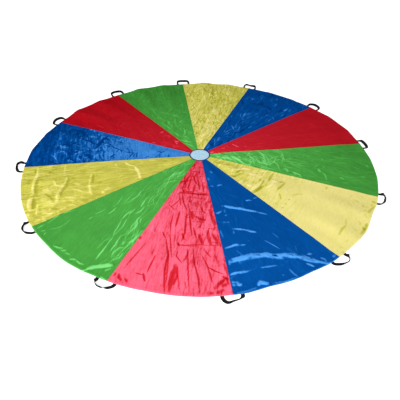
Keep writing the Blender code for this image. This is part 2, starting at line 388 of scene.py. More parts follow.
def finish_surface(tree, colour, roughness, specular, relief, depth=1.0):
    """The shader in which every cloth, thread and tape ends."""
    bump = tree.node("ShaderNodeBump", None, {"Distance": depth, "Height": relief})
    inputs = {
        "Base Color": colour,
        "Roughness": roughness,
        "Specular IOR Level": specular,
        "Normal": bump,
    }
    shader = tree.node("ShaderNodeBsdfPrincipled", None, inputs)
    tree.node("ShaderNodeOutputMaterial", None, {"Surface": shader})


print("families of folds:", ", ".join(FOLDS))


# %% The cloth's finish
def cloth_finish(name, deep, middle, pale):
    material, tree = new_finish(name)
    cut = tree.node("ShaderNodeUVMap", {"uv_map": "cut"})
    grain = tree.node("ShaderNodeUVMap", {"uv_map": "grain"})
    given = {"lustre": None, "crumple": None, "glint": None}
    for attribute in given:
        settings = {"attribute_name": attribute}
        given[attribute] = tree.node("ShaderNodeAttribute", settings, output="Fac")
    lustre, crumple, glint = given.values()

    gate = cloudy(tree, stretched(tree, grain, *GATE_SIZE), 3.0)
    gate = (gate * GATE_SHARPNESS + 0.5).held()
    folds = {name: ridges(tree, grain, *row) for name, row in FOLDS.items()}
    panes = facets(tree, stretched(tree, grain, *PANE_SIZE))
    chips = facets(tree, stretched(tree, grain, *CHIP_SIZE, CHIPS_APART))
    haze = cloudy(tree, stretched(tree, cut, *HAZE_SIZE), 4.0)
    # A fine noise that mottles both the painted sheen and the bump.
    sheen_and_crinkle_mottle = cloudy(tree, stretched(tree, grain, *MOTTLE_SIZE), 4.0)

    # The dark folds are painted shade and the pale ones painted highlight, and the facets carry
    # painted shade and highlight at random. The same lines also make the bump below.
    other = 1 - gate
    dark = folds["long"] * 0.5 + folds["short"] * gate * 0.45 + folds["cross"] * other * 0.25
    bright = folds["pale"] * gate * 0.7 + folds["fine"] * other * 0.35
    planes = panes * 0.40 + chips * gate * 0.45
    # The tone is painted sheen: the mesh's painted sheen, mottled by noise, with the painted
    # shade and highlights of the folds and facets.
    tone = lustre * (sheen_and_crinkle_mottle * 0.25 + 1.0) + (planes + 0.12 - dark) * crumple
    tone = (tone + bright * glint + planes * glint * 0.25 + haze * 0.10 + sheen_and_crinkle_mottle * 0.08).held()
    # The ramp runs from the deep dye, through a middle shade, to the pale shade of painted
    # sheen.
    stops = [(0.0, linear(deep)), (0.5, linear(middle)), (1.0, linear(pale))]
    colour = tree.node("ShaderNodeValToRGB", {"stops": stops}, {"Fac": tone})

    aside = tree.node("ShaderNodeSeparateXYZ", None, {"Vector": cut}, "X")
    ahead = Wire(tree, aside.socket.node.outputs["Y"])
    turn = 2 * math.pi / WEAVE_PITCH
    weave = (aside * turn).sine() * (ahead * turn).sine() * WEAVE_DEPTH
    crinkle = (planes - dark) * crumple + (planes + bright) * glint + sheen_and_crinkle_mottle * 0.06
    relief = weave + crinkle * CRINKLE_DEPTH
    finish_surface(tree, colour, CLOTH_ROUGHNESS - tone * POLISH, 0.0, relief)
    return material


cloth_finishes = {
    name: cloth_finish(f"nylon {name}", *shades) for name, shades in DYES.items()
}
print("cloth finishes:", ", ".join(cloth_finishes))

# %% [markdown]
# ## How the cloth lies
#
# Trapped air lifts the middle of a gore a few millimetres, the rim ripples, and the
# hem is carried over the sewn ends of the handles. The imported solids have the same
# rule in a few large facets. Here the rule is worked out at every point, by arrays.

# %% The lie of the cloth
BILLOW_HEIGHT = 0.008
BILLOWS_ALONG = 3
RIPPLE_HEIGHT = 0.016
RIPPLES_ACROSS = 2
RIPPLE_START_SHARE = 0.5
LIFT_RUN = 0.07
HANDLE_ZONE = (1 / 2 + 0.15) * HANDLE_SPAN + WEBBING_WIDTH / 2 + 0.008
BILLOW_SHARES = (0.4, 0.6, 0.8, 0.5, 0.4, 0.9, 1.0, 0.7, 0.9, 1.0, 0.9, 0.7)
RIPPLE_SHARES = (0.4, 0.5, 0.8, 1.0, 1.0, 0.6, 0.5, 0.3, 0.3, 0.4, 0.5, 0.4)
HEM_FOOT = CANOPY_RADIUS - HEM_WIDTH - HEM_RISE_RUN
GORE_INNER = VENT_RADIUS + CLEARANCE


def eased(share):
    held = np.clip(share, 0.0, 1.0)
    return held * held * (3 - 2 * held)


def between_handles(angle):
    """How far an angle is across the part of a gore that no handle holds, from 0 to 1."""
    zone = HANDLE_ZONE / CANOPY_RADIUS
    return np.clip((angle - zone) / (GORE_ANGLE - 2 * zone), 0, 1)


def lap_edges(radius):
    """Angles by which the lap's foot, its top and its edge stand off the seam's line."""
    half = SEAM_LAP / 2
    foot = np.arcsin((half + CLEARANCE + LAP_RISE_RUN) / radius)
    top = np.arcsin((half + CLEARANCE) / radius)
    return foot, top, np.arcsin(half / radius)


def cloth_thickness(radius):
    rise = (radius - HEM_FOOT) / HEM_RISE_RUN
    return CLOTH_THICKNESS + (HEM_THICKNESS - CLOTH_THICKNESS) * np.clip(rise, 0, 1)


def lie_of_cloth(gore, radius, angle):
    """Height of a gore's underside, before its creases are added."""
    arc = radius * np.minimum(np.abs(angle), np.abs(GORE_ANGLE - angle))
    across = between_handles(angle)
    along = (radius - GORE_INNER) / (CANOPY_RADIUS - GORE_INNER)
    billow = np.sin(math.pi * across) ** 2 * np.sin(BILLOWS_ALONG * math.pi * along) ** 2
    ripple = np.sin(RIPPLES_ACROSS * math.pi * across) ** 2
    ripple *= eased((along - RIPPLE_START_SHARE) / (1 - RIPPLE_START_SHARE))
    near_hem = eased((radius - HEM_FOOT + LIFT_RUN) / LIFT_RUN)
    near_seam = 1 - eased((arc - HANDLE_ZONE) / LIFT_RUN)
    return (
        BILLOW_HEIGHT * BILLOW_SHARES[gore] * billow
        + RIPPLE_HEIGHT * RIPPLE_SHARES[gore] * ripple
        + (WEBBING_THICKNESS + CLEARANCE) * near_hem * near_seam
    )


def lap_rise(radius, angle):
    """How far a gore's last edge climbs to lie over the first edge of the next gore."""
    foot, top, _ = lap_edges(radius)
    share = np.clip((angle - GORE_ANGLE + foot) / (foot - top), 0, 1)
    return share * (cloth_thickness(radius) + CLEARANCE)


print("ripples rise", RIPPLE_HEIGHT * MM_PER_METRE, "mm at most")

# %% [markdown]
# ## Creases
#
# A crease is a line that was pressed or crumpled into the cloth. It raises or lowers
# the surface, and a painted highlight makes it paler or painted shade makes it darker.
# The large ones can be seen one by one, so their points were picked by eye on enlarged
# views of the photograph. A small program that knew the camera turned them into places
# on the flat gore: how far right of its middle line, for someone who looks out from the
# vent, and how far from the vent's centre.
# Widths, heights and painted shines were chosen, and some gores' were then scaled
# together. The small ones are too many to draw, so each family is scattered within its
# part of the gore, by a seeded generator.
#
# A row of `DRAWN` is (width, height, shine, point, point, ...), in millimetres. A row
# of `SCATTERED` is (count, (left, right) as shares of the half width, (near, far),
# heading and spread in degrees, (short, long), width, height, shine), with its places
# and lengths in metres, and its width and height in millimetres. A shine above 0 is a
# painted highlight, and one below 0 painted shade.

# %% The creases of each gore
DRAWN = {
    0: (
        (7, 2.0, 0.56, (-65, 411), (-7, 435), (28, 456)), (10, 2.0, 0.40, (-2, 118), (3, 167)),
        (6, 1.5, 0.26, (34, 634), (51, 743)), (7, 1.5, 0.22, (-107, 867), (-58, 896)),
        (8, 1.5, 0.18, (-229, 1184), (-193, 1209)), (8, 1.5, 0.12, (-117, 1463), (-45, 1503)),
        (9, 1.5, 0.08, (-208, 982), (-181, 1240)), (9, 1.5, 0.06, (34, 1103), (126, 1449)),
    ),
    1: (
        (8, 2.0, 0.31, (-71, 924), (-126, 1122)),
        (6.5, 2.0, 0.29, (-41, 934), (-11, 1074), (3, 1150)),
        (6.5, 2.0, 0.24, (43, 982), (70, 1203), (118, 1451)),
        (6.5, 1.5, 0.20, (-189, 805), (-127, 918)), (9, 2.0, 0.34, (-86, 739), (7, 651)),
        (7, 2.0, 0.29, (-69, 800), (-70, 899)), (9.5, 2.0, 0.32, (105, 793), (121, 865)),
        (8, 2.0, 0.27, (163, 832), (185, 1006), (214, 1129)),
        (8, 2.0, 0.27, (180, 1058), (170, 1158)), (7, 2.0, 0.29, (-30, 452), (-7, 589)),
        (7, 2.0, 0.32, (-68, 373), (27, 231)), (7, 2.0, 0.31, (-15, 146), (-27, 224)),
        (6.5, 1.5, 0.15, (-222, 1169), (-243, 1308)),
        (7, 1.5, 0.14, (-133, 1416), (-145, 1600)), (11, 2.0, 0.22, (111, 1202), (169, 1209)),
        (7, 1.5, 0.19, (76, 1439), (84, 1566)),
        (8, 1.5, 0.19, (199, 1398), (253, 1516), (313, 1597)),
        (6.5, 2.0, 0.29, (71, 588), (59, 698)), (6.5, 2.0, 0.24, (78, 885), (96, 998)),
        (8, 1.5, 0.14, (133, 1634), (308, 1629)), (15, -1.5, -0.26, (-9, 1414), (134, 1347)),
        (20, -1.5, -0.18, (-193, 1369), (-39, 1419)), (14, -1.5, -0.26, (-3, 791), (4, 895)),
        (14, -1.5, -0.24, (-116, 619), (-48, 608)),
        (22, -1.5, -0.12, (-310, 1663), (-21, 1698)),
    ),
    2: (
        (9, -1.5, -0.36, (-39, 1734), (-12, 1358), (58, 1187)),
        (9, -1.5, -0.40, (85, 1402), (146, 1228)), (9, -1.5, -0.36, (-68, 1567), (9, 1415)),
        (9, -1.5, -0.42, (129, 1118), (129, 982), (115, 819)),
        (9, -1.5, -0.28, (-243, 1149), (-159, 962)), (9, -1.5, -0.38, (190, 1100), (218, 963)),
        (10, -1.5, -0.38, (61, 741), (131, 578)), (9, -1.5, -0.36, (98, 644), (152, 730)),
        (9, -1.5, -0.30, (-194, 1712), (-143, 1549)),
        (10, 2.0, 0.30, (-300, 1376), (-222, 1209)), (10, 2.0, 0.30, (-53, 903), (30, 712)),
        (10, 2.0, 0.28, (171, 1538), (255, 1308)), (10, 2.0, 0.30, (-76, 600), (-18, 424)),
        (9, -1.5, -0.30, (285, 1683), (260, 1428)),
        (9, -1.5, -0.28, (-241, 1638), (-238, 1416)),
    ),
    3: (
        (8, 2.0, 0.36, (-97, 378), (-49, 312), (16, 259)),
        (8, 2.0, 0.32, (-89, 539), (-74, 433)), (7, 1.5, 0.28, (50, 606), (5, 448)),
        (9, 1.5, 0.22, (-137, 758), (-107, 614)), (7, 1.5, 0.32, (-74, 291), (-4, 179)),
        (8, 1.5, 0.18, (-161, 1120), (-155, 999)), (8, 1.5, 0.16, (-97, 1066), (2, 964)),
        (8, 1.5, 0.14, (-227, 1475), (-158, 1385)),
    ),
    4: (
        (9, 2.0, 0.54, (70, 631), (134, 623)), (9, 2.0, 0.56, (47, 387), (58, 333)),
        (8, 2.0, 0.48, (33, 364), (12, 317)), (8, 1.5, 0.46, (-127, 568), (-116, 520)),
        (7, 1.5, 0.26, (72, 556), (89, 492)), (7, 1.5, 0.32, (-256, 1342), (-243, 1227)),
        (6, 1.5, 0.22, (-123, 1090), (6, 1134)), (9, 1.5, 0.30, (-120, 461), (-85, 414)),
        (6, 1.5, 0.18, (-41, 765), (17, 735)), (6, 1.5, 0.14, (-213, 808), (-174, 696)),
        (7, 1.5, 0.12, (-262, 1090), (-207, 983)),
    ),
    5: (
        (14, -2.5, -0.58, (260, 1073), (168, 1102), (42, 1113), (-72, 1139)),
        (9, -2.0, -0.46, (144, 1392), (95, 1258), (27, 1117)),
        (8, -2.0, -0.46, (67, 1010), (-4, 940), (-33, 864), (-50, 813)),
        (7, -1.5, -0.40, (-63, 800), (-59, 700)), (7, -1.5, -0.40, (-53, 702), (-134, 726)),
        (7, -1.5, -0.38, (-42, 674), (-142, 653)),
        (10, -2.0, -0.48, (-115, 892), (-157, 915), (-189, 928)),
        (7, -1.5, -0.38, (-34, 426), (16, 377)), (6, -1.5, -0.32, (-33, 424), (-105, 413)),
        (20, -2.5, -0.46, (-160, 1208), (-188, 1136), (-258, 1098)),
        (15, -2.0, -0.38, (-206, 1259), (-237, 1190)),
        (14, -2.0, -0.32, (-90, 1406), (-142, 1325)),
        (13, -2.0, -0.32, (-45, 1479), (47, 1445)),
        (20, -2.5, -0.36, (315, 1542), (287, 1447), (274, 1346)),
        (17, -2.0, -0.44, (274, 1382), (187, 1336)),
        (13, -2.0, -0.42, (290, 1271), (276, 1211)),
        (7, -1.5, -0.28, (-108, 1087), (-61, 1056), (-97, 1008)),
        (9, 2.0, 0.37, (14, 1558), (-102, 1490), (-172, 1427), (-241, 1352)),
        (8, 2.0, 0.34, (-229, 1555), (-259, 1501), (-345, 1429)),
        (7, 2.0, 0.29, (238, 1598), (314, 1579), (392, 1558)),
        (8, 2.0, 0.32, (-120, 1502), (-204, 1491)), (9, 2.0, 0.32, (-82, 1489), (-72, 1420)),
        (10, 2.0, 0.32, (-12, 1426), (-3, 1359), (-39, 1298)),
        (13.5, 2.0, 0.36, (319, 1353), (345, 1303), (292, 1255)),
        (10, 2.0, 0.27, (197, 1295), (185, 1194)),
        (7, 1.5, 0.20, (-224, 1629), (-181, 1602), (-153, 1567)),
        (7, 1.5, 0.17, (-33, 1716), (-110, 1654)),
        (10, 2.0, 0.29, (-179, 1315), (-130, 1266), (-105, 1228)),
        (9, 2.0, 0.32, (-245, 1268), (-291, 1181)), (9, 2.0, 0.29, (-294, 1357), (-303, 1263)),
        (8, 2.0, 0.29, (-329, 1473), (-360, 1412)), (8, 1.5, 0.19, (143, 1675), (88, 1604)),
        (8, 1.5, 0.22, (175, 1451), (205, 1392)), (8, 1.5, 0.14, (177, 984), (131, 856)),
    ),
    6: (
        (15.5, 3.0, 0.37, (413, 1605), (286, 1621), (191, 1656), (79, 1682), (-28, 1693)),
        (21.5, 3.0, 0.34, (-28, 1693), (-100, 1721), (-185, 1737), (-264, 1735)),
        (12, 2.5, 0.37, (-194, 1659), (-278, 1672), (-337, 1694)),
        (24, 2.0, 0.27, (-259, 1746), (-335, 1745), (-398, 1721)),
        (17, -2.5, -0.34, (206, 1615), (128, 1646), (21, 1662), (-78, 1659)),
        (19, -3.0, -0.55, (-91, 1684), (-181, 1691), (-246, 1704)),
        (10, -2.0, -0.34, (381, 1633), (295, 1644)), (21.5, 2.0, 0.22, (-14, 1606), (-7, 1515)),
        (31, 2.0, 0.27, (-134, 1636), (-163, 1593), (-199, 1533)),
        (24, 2.0, 0.27, (-219, 1625), (-237, 1554), (-247, 1501)),
        (24, 2.0, 0.29, (-303, 1639), (-367, 1548)),
        (9, -2.0, -0.34, (-73, 1581), (-134, 1550), (-181, 1526)),
        (11, 3.0, 0.37, (134, 1358), (59, 1378), (-15, 1417), (-81, 1464)),
        (17, 3.0, 0.34, (-81, 1464), (-172, 1484), (-241, 1502)),
        (13, -2.0, -0.24, (104, 1339), (-28, 1386), (-106, 1439), (-172, 1457)),
        (11, 2.0, 0.29, (107, 1490), (28, 1477), (-19, 1428)),
        (12, 2.5, 0.32, (86, 1127), (-16, 1158), (-86, 1178)),
        (13, 2.5, 0.37, (-86, 1178), (-172, 1185), (-237, 1182)),
        (11, 2.0, 0.32, (-88, 1206), (-97, 1152)),
        (11, 2.0, 0.32, (-88, 1344), (-118, 1289), (-164, 1261), (-192, 1183)),
        (12, 2.0, 0.27, (-225, 1295), (-249, 1242)), (13, -2.0, -0.24, (84, 1105), (-75, 1143)),
        (9.5, 2.0, 0.29, (-247, 1097), (-209, 1045), (-217, 988)),
        (9.5, 2.0, 0.27, (-210, 1091), (-263, 1069)),
        (12, 3.5, 0.45, (153, 770), (92, 736), (63, 693)),
        (17, 4.0, 0.50, (55, 688), (-58, 685), (-171, 695)),
        (7, 1.5, 0.27, (72, 765), (7, 740), (-25, 661)),
        (13, 1.5, 0.22, (185, 858), (113, 867)),
        (9.5, 1.5, 0.22, (356, 1344), (257, 1360), (165, 1380)),
        (6, 1.5, 0.29, (287, 1608), (253, 1538), (222, 1466)),
        (7, 1.5, 0.29, (165, 1394), (149, 1321), (123, 1249)),
        (6, 1.5, 0.24, (168, 1251), (114, 1124), (64, 986)),
        (6, 1.5, 0.21, (151, 961), (77, 843), (51, 771)),
        (19, 2.0, 0.27, (-419, 1713), (-386, 1634), (-353, 1547), (-334, 1458)),
        (6, -1.5, -0.36, (-295, 1560), (-338, 1477)), (6, 1.0, 0.24, (293, 1745), (259, 1660)),
        (6, 1.0, 0.21, (260, 1750), (223, 1657)), (5, -1.0, -0.26, (319, 1729), (291, 1644)),
        (6, -1.0, -0.26, (222, 1748), (185, 1688)), (9.5, 1.5, 0.16, (0, 1328), (-33, 1246)),
        (14.5, 1.5, 0.21, (-211, 1387), (-272, 1355), (-281, 1287)),
    ),
    7: (
        (17, 1.2, 1.00, (-262, 1752), (-293, 1706), (-360, 1638), (-396, 1606)),
        (6.5, 2.5, 0.67, (-245, 1790), (-274, 1749), (-288, 1702)),
        (6, 2.0, 0.56, (-386, 1681), (-408, 1631)),
        (6.5, 3.0, 0.67, (-247, 1647), (-224, 1551), (-201, 1474)),
        (5, 2.5, 0.54, (-202, 1484), (-178, 1399)),
        (5, 2.5, 0.56, (-180, 1403), (-141, 1343), (-121, 1289), (-77, 1202)),
        (6, 2.5, 0.56, (-77, 1202), (-64, 1138), (-65, 1076)),
        (4.5, 2.0, 0.47, (-171, 1377), (-151, 1263), (-110, 1177)),
        (4.5, 1.5, 0.36, (-177, 1567), (-156, 1466), (-169, 1411)),
        (4.5, 2.0, 0.47, (-280, 1538), (-233, 1395), (-216, 1351), (-236, 1309)),
        (6, 2.5, 0.56, (-325, 1559), (-306, 1516), (-304, 1453), (-325, 1421)),
        (5, 2.5, 0.52, (-359, 1538), (-344, 1458), (-340, 1377), (-330, 1297), (-311, 1187)),
        (6, 2.0, 0.47, (-358, 1578), (-378, 1523), (-365, 1462)),
        (8, 2.0, 0.52, (-299, 1414), (-286, 1375)),
        (6, 2.5, 0.52, (-250, 1315), (-244, 1274), (-241, 1207), (-211, 1147)),
        (6, 2.5, 0.52, (-224, 1202), (-189, 1127), (-176, 1098)),
        (4.5, 2.0, 0.45, (-235, 1146), (-197, 1090)),
        (4.5, 2.0, 0.40, (-327, 1365), (-331, 1249)),
        (4.5, 2.0, 0.43, (-272, 1514), (-256, 1442), (-229, 1398)),
        (4.5, 2.0, 0.40, (-354, 1629), (-355, 1550), (-353, 1492)),
        (6, 2.0, 0.52, (64, 1234), (64, 1174), (75, 1130)),
        (4.5, 2.0, 0.40, (103, 1152), (104, 1086), (144, 976)),
        (5, 2.0, 0.47, (42, 990), (27, 905), (56, 824)),
        (6.5, 2.5, 0.52, (-119, 1085), (-134, 1032), (-117, 961)),
        (6, 2.5, 0.52, (-98, 995), (-65, 906)),
        (6, 2.0, 0.47, (-86, 1127), (-77, 1090), (-76, 1039)),
        (6, 1.5, 0.34, (158, 1305), (143, 1261), (135, 1203)),
        (5, 1.5, 0.34, (147, 1389), (145, 1336)), (4.5, 2.0, 0.54, (406, 1729), (399, 1652)),
        (4.5, 2.0, 0.47, (388, 1637), (396, 1496), (365, 1421), (339, 1372)),
        (4.5, 1.5, 0.36, (408, 1568), (387, 1461)), (5, 1.5, 0.45, (354, 1724), (330, 1692)),
        (4.5, 1.5, 0.40, (315, 1670), (271, 1606), (262, 1549), (273, 1481)),
        (5, 1.5, 0.43, (295, 1741), (307, 1701)),
        (7, 2.5, 0.56, (132, 1763), (78, 1744), (49, 1727)),
        (6, 2.0, 0.52, (43, 1748), (8, 1721)), (6.5, 2.0, 0.40, (2, 1742), (-50, 1729)),
        (7, 2.5, 0.58, (-85, 1766), (-105, 1745), (-132, 1735)),
        (6.5, 2.5, 0.58, (-133, 1738), (-184, 1742), (-218, 1731)),
        (6.5, 2.0, 0.45, (-403, 1741), (-456, 1736)),
    ),
    8: (
        (7, -2.0, -0.45, (36, 309), (-44, 309)), (8, -2.0, -0.42, (13, 388), (-35, 507)),
        (8, -2.0, -0.42, (28, 425), (34, 597)), (8, -2.0, -0.42, (-42, 427), (-80, 594)),
        (7, -2.0, -0.38, (72, 454), (84, 595)), (11, -2.0, -0.32, (-23, 519), (-21, 623)),
        (7, -2.0, -0.38, (-87, 466), (-123, 624)), (6, -1.5, -0.34, (33, 344), (84, 467)),
        (9, -3.0, -0.55, (101, 651), (1, 650), (-171, 654)),
        (11, -2.0, -0.27, (79, 627), (-22, 627)), (12, -2.0, -0.34, (-84, 640), (-167, 641)),
        (7, -1.5, -0.45, (71, 672), (46, 780), (0, 894)),
        (6, -1.5, -0.38, (96, 696), (59, 845)), (6, -1.5, -0.36, (146, 872), (88, 766)),
        (6, -1.5, -0.36, (169, 833), (99, 908)), (6, -1.5, -0.25, (-7, 704), (-165, 715)),
        (7, -1.5, -0.42, (-124, 821), (-145, 885), (-184, 911)),
        (15.5, -2.0, -0.36, (-199, 839), (-236, 950), (-268, 1055)),
        (14.5, -2.0, -0.38, (-49, 898), (-73, 1005)),
        (12, -2.0, -0.36, (-92, 955), (-136, 989), (-189, 996)),
        (9, -2.0, -0.50, (55, 917), (56, 1008), (60, 1114)),
        (7, -1.5, -0.45, (-31, 932), (-81, 1146), (-96, 1201)),
        (8, -2.0, -0.48, (-8, 945), (-30, 1169), (-17, 1281)),
        (9, -2.0, -0.42, (-9, 1172), (-39, 1253)), (7, -1.5, -0.42, (-90, 1093), (-134, 1220)),
        (5, -1.5, -0.30, (-68, 1030), (-191, 1017)),
        (5, -1.5, -0.38, (-210, 1094), (-284, 1094)),
        (15.5, -2.5, -0.38, (-214, 1110), (-237, 1206), (-264, 1284)),
        (13, -2.0, -0.32, (-253, 1138), (-304, 1229), (-329, 1280)),
        (13, -2.5, -0.38, (-148, 1169), (-195, 1278)),
        (8, -1.5, -0.34, (17, 1305), (-53, 1311), (-120, 1296)),
        (5, -1.5, -0.22, (-110, 1297), (-186, 1283), (-334, 1281)),
        (11, -2.0, -0.34, (13, 1277), (-12, 1328)),
        (6, -1.5, -0.38, (-303, 1147), (-344, 1299)),
        (6, -1.8, -0.50, (-124, 1331), (-152, 1475), (-204, 1618), (-233, 1759)),
        (6, -1.8, -0.46, (-80, 1338), (-122, 1576), (-157, 1758)),
        (6, -1.8, -0.46, (-7, 1363), (-6, 1437), (-64, 1504)),
        (6, -1.5, -0.40, (-65, 1490), (-92, 1399), (-77, 1353)),
        (6, -1.8, -0.46, (-201, 1396), (-256, 1489), (-297, 1605), (-320, 1660)),
        (6, -1.8, -0.48, (-252, 1500), (-315, 1536), (-390, 1561)),
        (16.5, -3.0, -0.45, (-14, 1511), (-15, 1631), (-11, 1781)),
        (9, -2.0, -0.50, (-32, 1531), (-47, 1626), (-31, 1716)),
        (8, -2.0, -0.50, (114, 1255), (61, 1432), (55, 1600), (20, 1790)),
        (6, -1.5, -0.44, (86, 1210), (50, 1371), (28, 1457)),
        (6, -1.5, -0.42, (66, 1373), (44, 1516), (24, 1701)),
        (5, -1.5, -0.36, (3, 1566), (9, 1647), (5, 1724)),
        (6, -1.8, -0.46, (158, 1445), (178, 1583), (184, 1634)),
        (9, -2.0, -0.48, (211, 1632), (179, 1712)), (6, -1.5, -0.38, (275, 1637), (205, 1648)),
        (6, -1.5, -0.36, (264, 1315), (308, 1444), (370, 1607)),
        (8, -1.5, -0.40, (319, 1259), (326, 1300)), (11, -2.0, -0.36, (395, 1684), (350, 1723)),
        (11, -2.0, -0.36, (395, 1658), (374, 1697)),
        (10, -2.0, -0.36, (335, 1692), (309, 1732)), (8, -1.5, -0.34, (426, 1691), (417, 1650)),
        (15.5, -2.5, -0.38, (-331, 1705), (-375, 1636), (-394, 1610)),
        (13, -2.0, -0.33, (-323, 1729), (-315, 1754)),
        (12, -2.0, -0.32, (-351, 1660), (-409, 1590)),
        (13, -2.0, -0.32, (-379, 1674), (-427, 1642)),
        (15.5, -2.0, -0.33, (-344, 1740), (-405, 1698)),
        (9, -2.0, -0.42, (-377, 1578), (-425, 1603)),
        (9, -2.0, -0.42, (-403, 1564), (-439, 1658)),
        (8, -1.5, -0.42, (-381, 1458), (-416, 1569)),
        (5, -1.5, -0.34, (-49, 1615), (-87, 1763)),
        (5, -1.5, -0.30, (-110, 1667), (-133, 1730)),
        (5, -1.2, -0.22, (216, 1057), (226, 1205)), (6, -1.5, -0.40, (160, 1179), (114, 1255)),
        (6, -1.5, -0.40, (108, 942), (105, 1086), (86, 1210)),
        (6, -1.5, -0.30, (-272, 1030), (-254, 962)),
        (6, -1.5, -0.34, (-202, 1321), (-281, 1414)),
    ),
    9: (
        (21, 5.0, 0.56, (361, 1455), (292, 1453), (239, 1462)),
        (28, 6.0, 0.63, (305, 1450), (188, 1477), (60, 1514)),
        (14, 3.0, 0.40, (100, 1492), (48, 1500), (19, 1535)),
        (26, 6.0, 0.50, (74, 1512), (-18, 1561), (-74, 1593)),
        (24, 6.0, 0.58, (-15, 1541), (-131, 1598), (-194, 1642)),
        (24, 5.0, 0.58, (-167, 1625), (-243, 1683), (-295, 1719)),
        (14, 3.0, 0.52, (-279, 1709), (-347, 1755), (-377, 1762)),
        (9, 2.0, 0.36, (357, 1452), (362, 1487)), (6, -1.5, -0.36, (-41, 1548), (-71, 1601)),
        (6, -1.5, -0.30, (-38, 1577), (-72, 1610)),
        (6, -1.5, -0.36, (-125, 1582), (-134, 1608)), (5, -1.0, -0.24, (37, 1537), (4, 1578)),
        (5, -1.0, -0.20, (173, 1476), (95, 1500)), (5, -1.0, -0.26, (-209, 1655), (-255, 1701)),
        (9, 1.5, 0.36, (132, 835), (117, 844)),
        (16, 5.0, 0.65, (113, 843), (74, 883), (21, 928)),
        (17, 5.0, 0.63, (39, 913), (-18, 950), (-34, 975)),
        (14, 4.0, 0.61, (-19, 960), (-71, 993), (-122, 1029)),
        (9, 2.5, 0.48, (-106, 1021), (-153, 1056), (-194, 1090)),
        (8, 2.0, 0.32, (130, 887), (142, 932)), (10, 1.5, 0.36, (158, 959), (142, 970)),
        (12, 3.0, 0.50, (226, 910), (193, 909), (157, 898)),
        (9, 1.5, 0.34, (111, 527), (80, 548)),
        (12, 3.0, 0.50, (53, 552), (22, 555), (-12, 562)),
        (11, 3.0, 0.50, (-103, 856), (-133, 860), (-158, 874)),
        (9, 2.0, 0.38, (-178, 853), (-224, 850)), (11, 1.5, 0.28, (79, 400), (84, 448)),
        (10, 1.5, 0.28, (18, 314), (12, 359)),
        (10, 3.0, 0.56, (174, 1142), (125, 1166), (79, 1191)),
        (11, 3.5, 0.58, (89, 1185), (50, 1219), (6, 1252)),
        (9, 2.0, 0.32, (171, 1163), (186, 1203)),
        (9, 1.5, 0.24, (272, 1113), (282, 1183), (290, 1213)),
        (10, 3.0, 0.50, (328, 1314), (276, 1316), (244, 1315)),
        (13, 4.0, 0.54, (259, 1311), (225, 1318), (200, 1335)),
        (9, 2.0, 0.48, (205, 1335), (153, 1351)),
        (5, 2.0, 0.46, (-9, 1357), (-44, 1427), (-80, 1506)),
        (7, 1.5, 0.24, (-117, 1308), (-134, 1385)), (7, 1.5, 0.18, (-189, 1180), (-197, 1241)),
        (11, 3.5, 0.56, (404, 1569), (350, 1569), (295, 1584), (241, 1601)),
        (8, 2.5, 0.44, (168, 1611), (95, 1625), (28, 1634)),
        (10, 2.5, 0.54, (-190, 1702), (-212, 1729), (-232, 1751)),
        (9, 1.5, 0.42, (-249, 1622), (-293, 1626)),
        (9, 2.0, 0.38, (-39, 1693), (-50, 1758), (-63, 1785)),
        (9, 2.0, 0.40, (-329, 1680), (-360, 1719)), (8, 1.5, 0.34, (-340, 1720), (-358, 1734)),
        (11, 1.5, 0.40, (-420, 1721), (-452, 1702)), (13, 3.0, 0.52, (261, 1747), (225, 1715)),
        (16, 3.0, 0.58, (226, 1717), (212, 1742), (176, 1766)),
        (8, 1.5, 0.34, (433, 1735), (333, 1748), (267, 1755)),
        (7, 1.5, 0.30, (146, 1773), (49, 1788), (-57, 1783)),
        (11, 2.0, 0.34, (420, 1632), (387, 1646)), (11, 2.0, 0.38, (429, 1658), (404, 1668)),
        (13, 2.5, 0.48, (379, 1640), (384, 1670), (358, 1684)),
        (7, 1.5, 0.22, (250, 1365), (227, 1443)), (11, 1.5, 0.20, (203, 1032), (158, 1061)),
        (11, 1.5, 0.26, (42, 1724), (21, 1733)), (7, 1.0, 0.14, (118, 1301), (96, 1336)),
    ),
    10: (
        (14, -2.5, -0.50, (102, 450), (85, 506), (-1, 528)),
        (10, -2.0, -0.38, (30, 479), (-59, 512)),
        (20, -3.0, -0.66, (198, 781), (124, 793), (41, 804)),
        (11, -2.0, -0.46, (84, 787), (-3, 776), (-40, 767)),
        (14, -2.5, -0.52, (-48, 811), (-125, 790), (-187, 786)),
        (12, -2.5, -0.52, (25, 942), (-52, 950), (-146, 950)),
        (14, -2.0, -0.48, (-99, 895), (-134, 934)), (11, -2.0, -0.36, (-23, 726), (-19, 750)),
        (9, -1.5, -0.28, (-92, 644), (-82, 671)),
        (10, 2.0, 0.32, (-4, 456), (-77, 509), (-105, 570)),
        (9, 2.0, 0.28, (-39, 577), (-52, 643), (-98, 702)),
        (16, 2.0, 0.34, (122, 663), (121, 729)), (10, 2.0, 0.26, (-150, 669), (-191, 728)),
        (14, 2.0, 0.30, (-85, 829), (-86, 883)),
        (13, 2.0, 0.30, (70, 839), (-22, 866), (-98, 846)),
        (7, 2.0, 0.30, (-3, 379), (-44, 401)), (9, -2.0, -0.42, (55, 991), (122, 1039)),
        (13, -2.0, -0.42, (72, 1089), (77, 1109)), (8, -1.5, -0.28, (142, 1091), (145, 1113)),
        (9, -1.5, -0.28, (208, 1089), (205, 1117)), (8, -1.5, -0.24, (181, 1017), (212, 1047)),
        (7, -1.5, -0.28, (9, 1094), (-53, 1130), (-76, 1168)),
        (8, -1.5, -0.46, (-272, 1304), (-327, 1297)),
        (7, -1.5, -0.28, (-235, 1293), (-233, 1307)),
        (10, -2.0, -0.46, (234, 1636), (146, 1627), (81, 1635)),
        (7, -1.5, -0.32, (84, 1635), (1, 1607)), (14, -2.5, -0.46, (-384, 1716), (-359, 1742)),
        (10, -2.0, -0.38, (-270, 1673), (-251, 1693)),
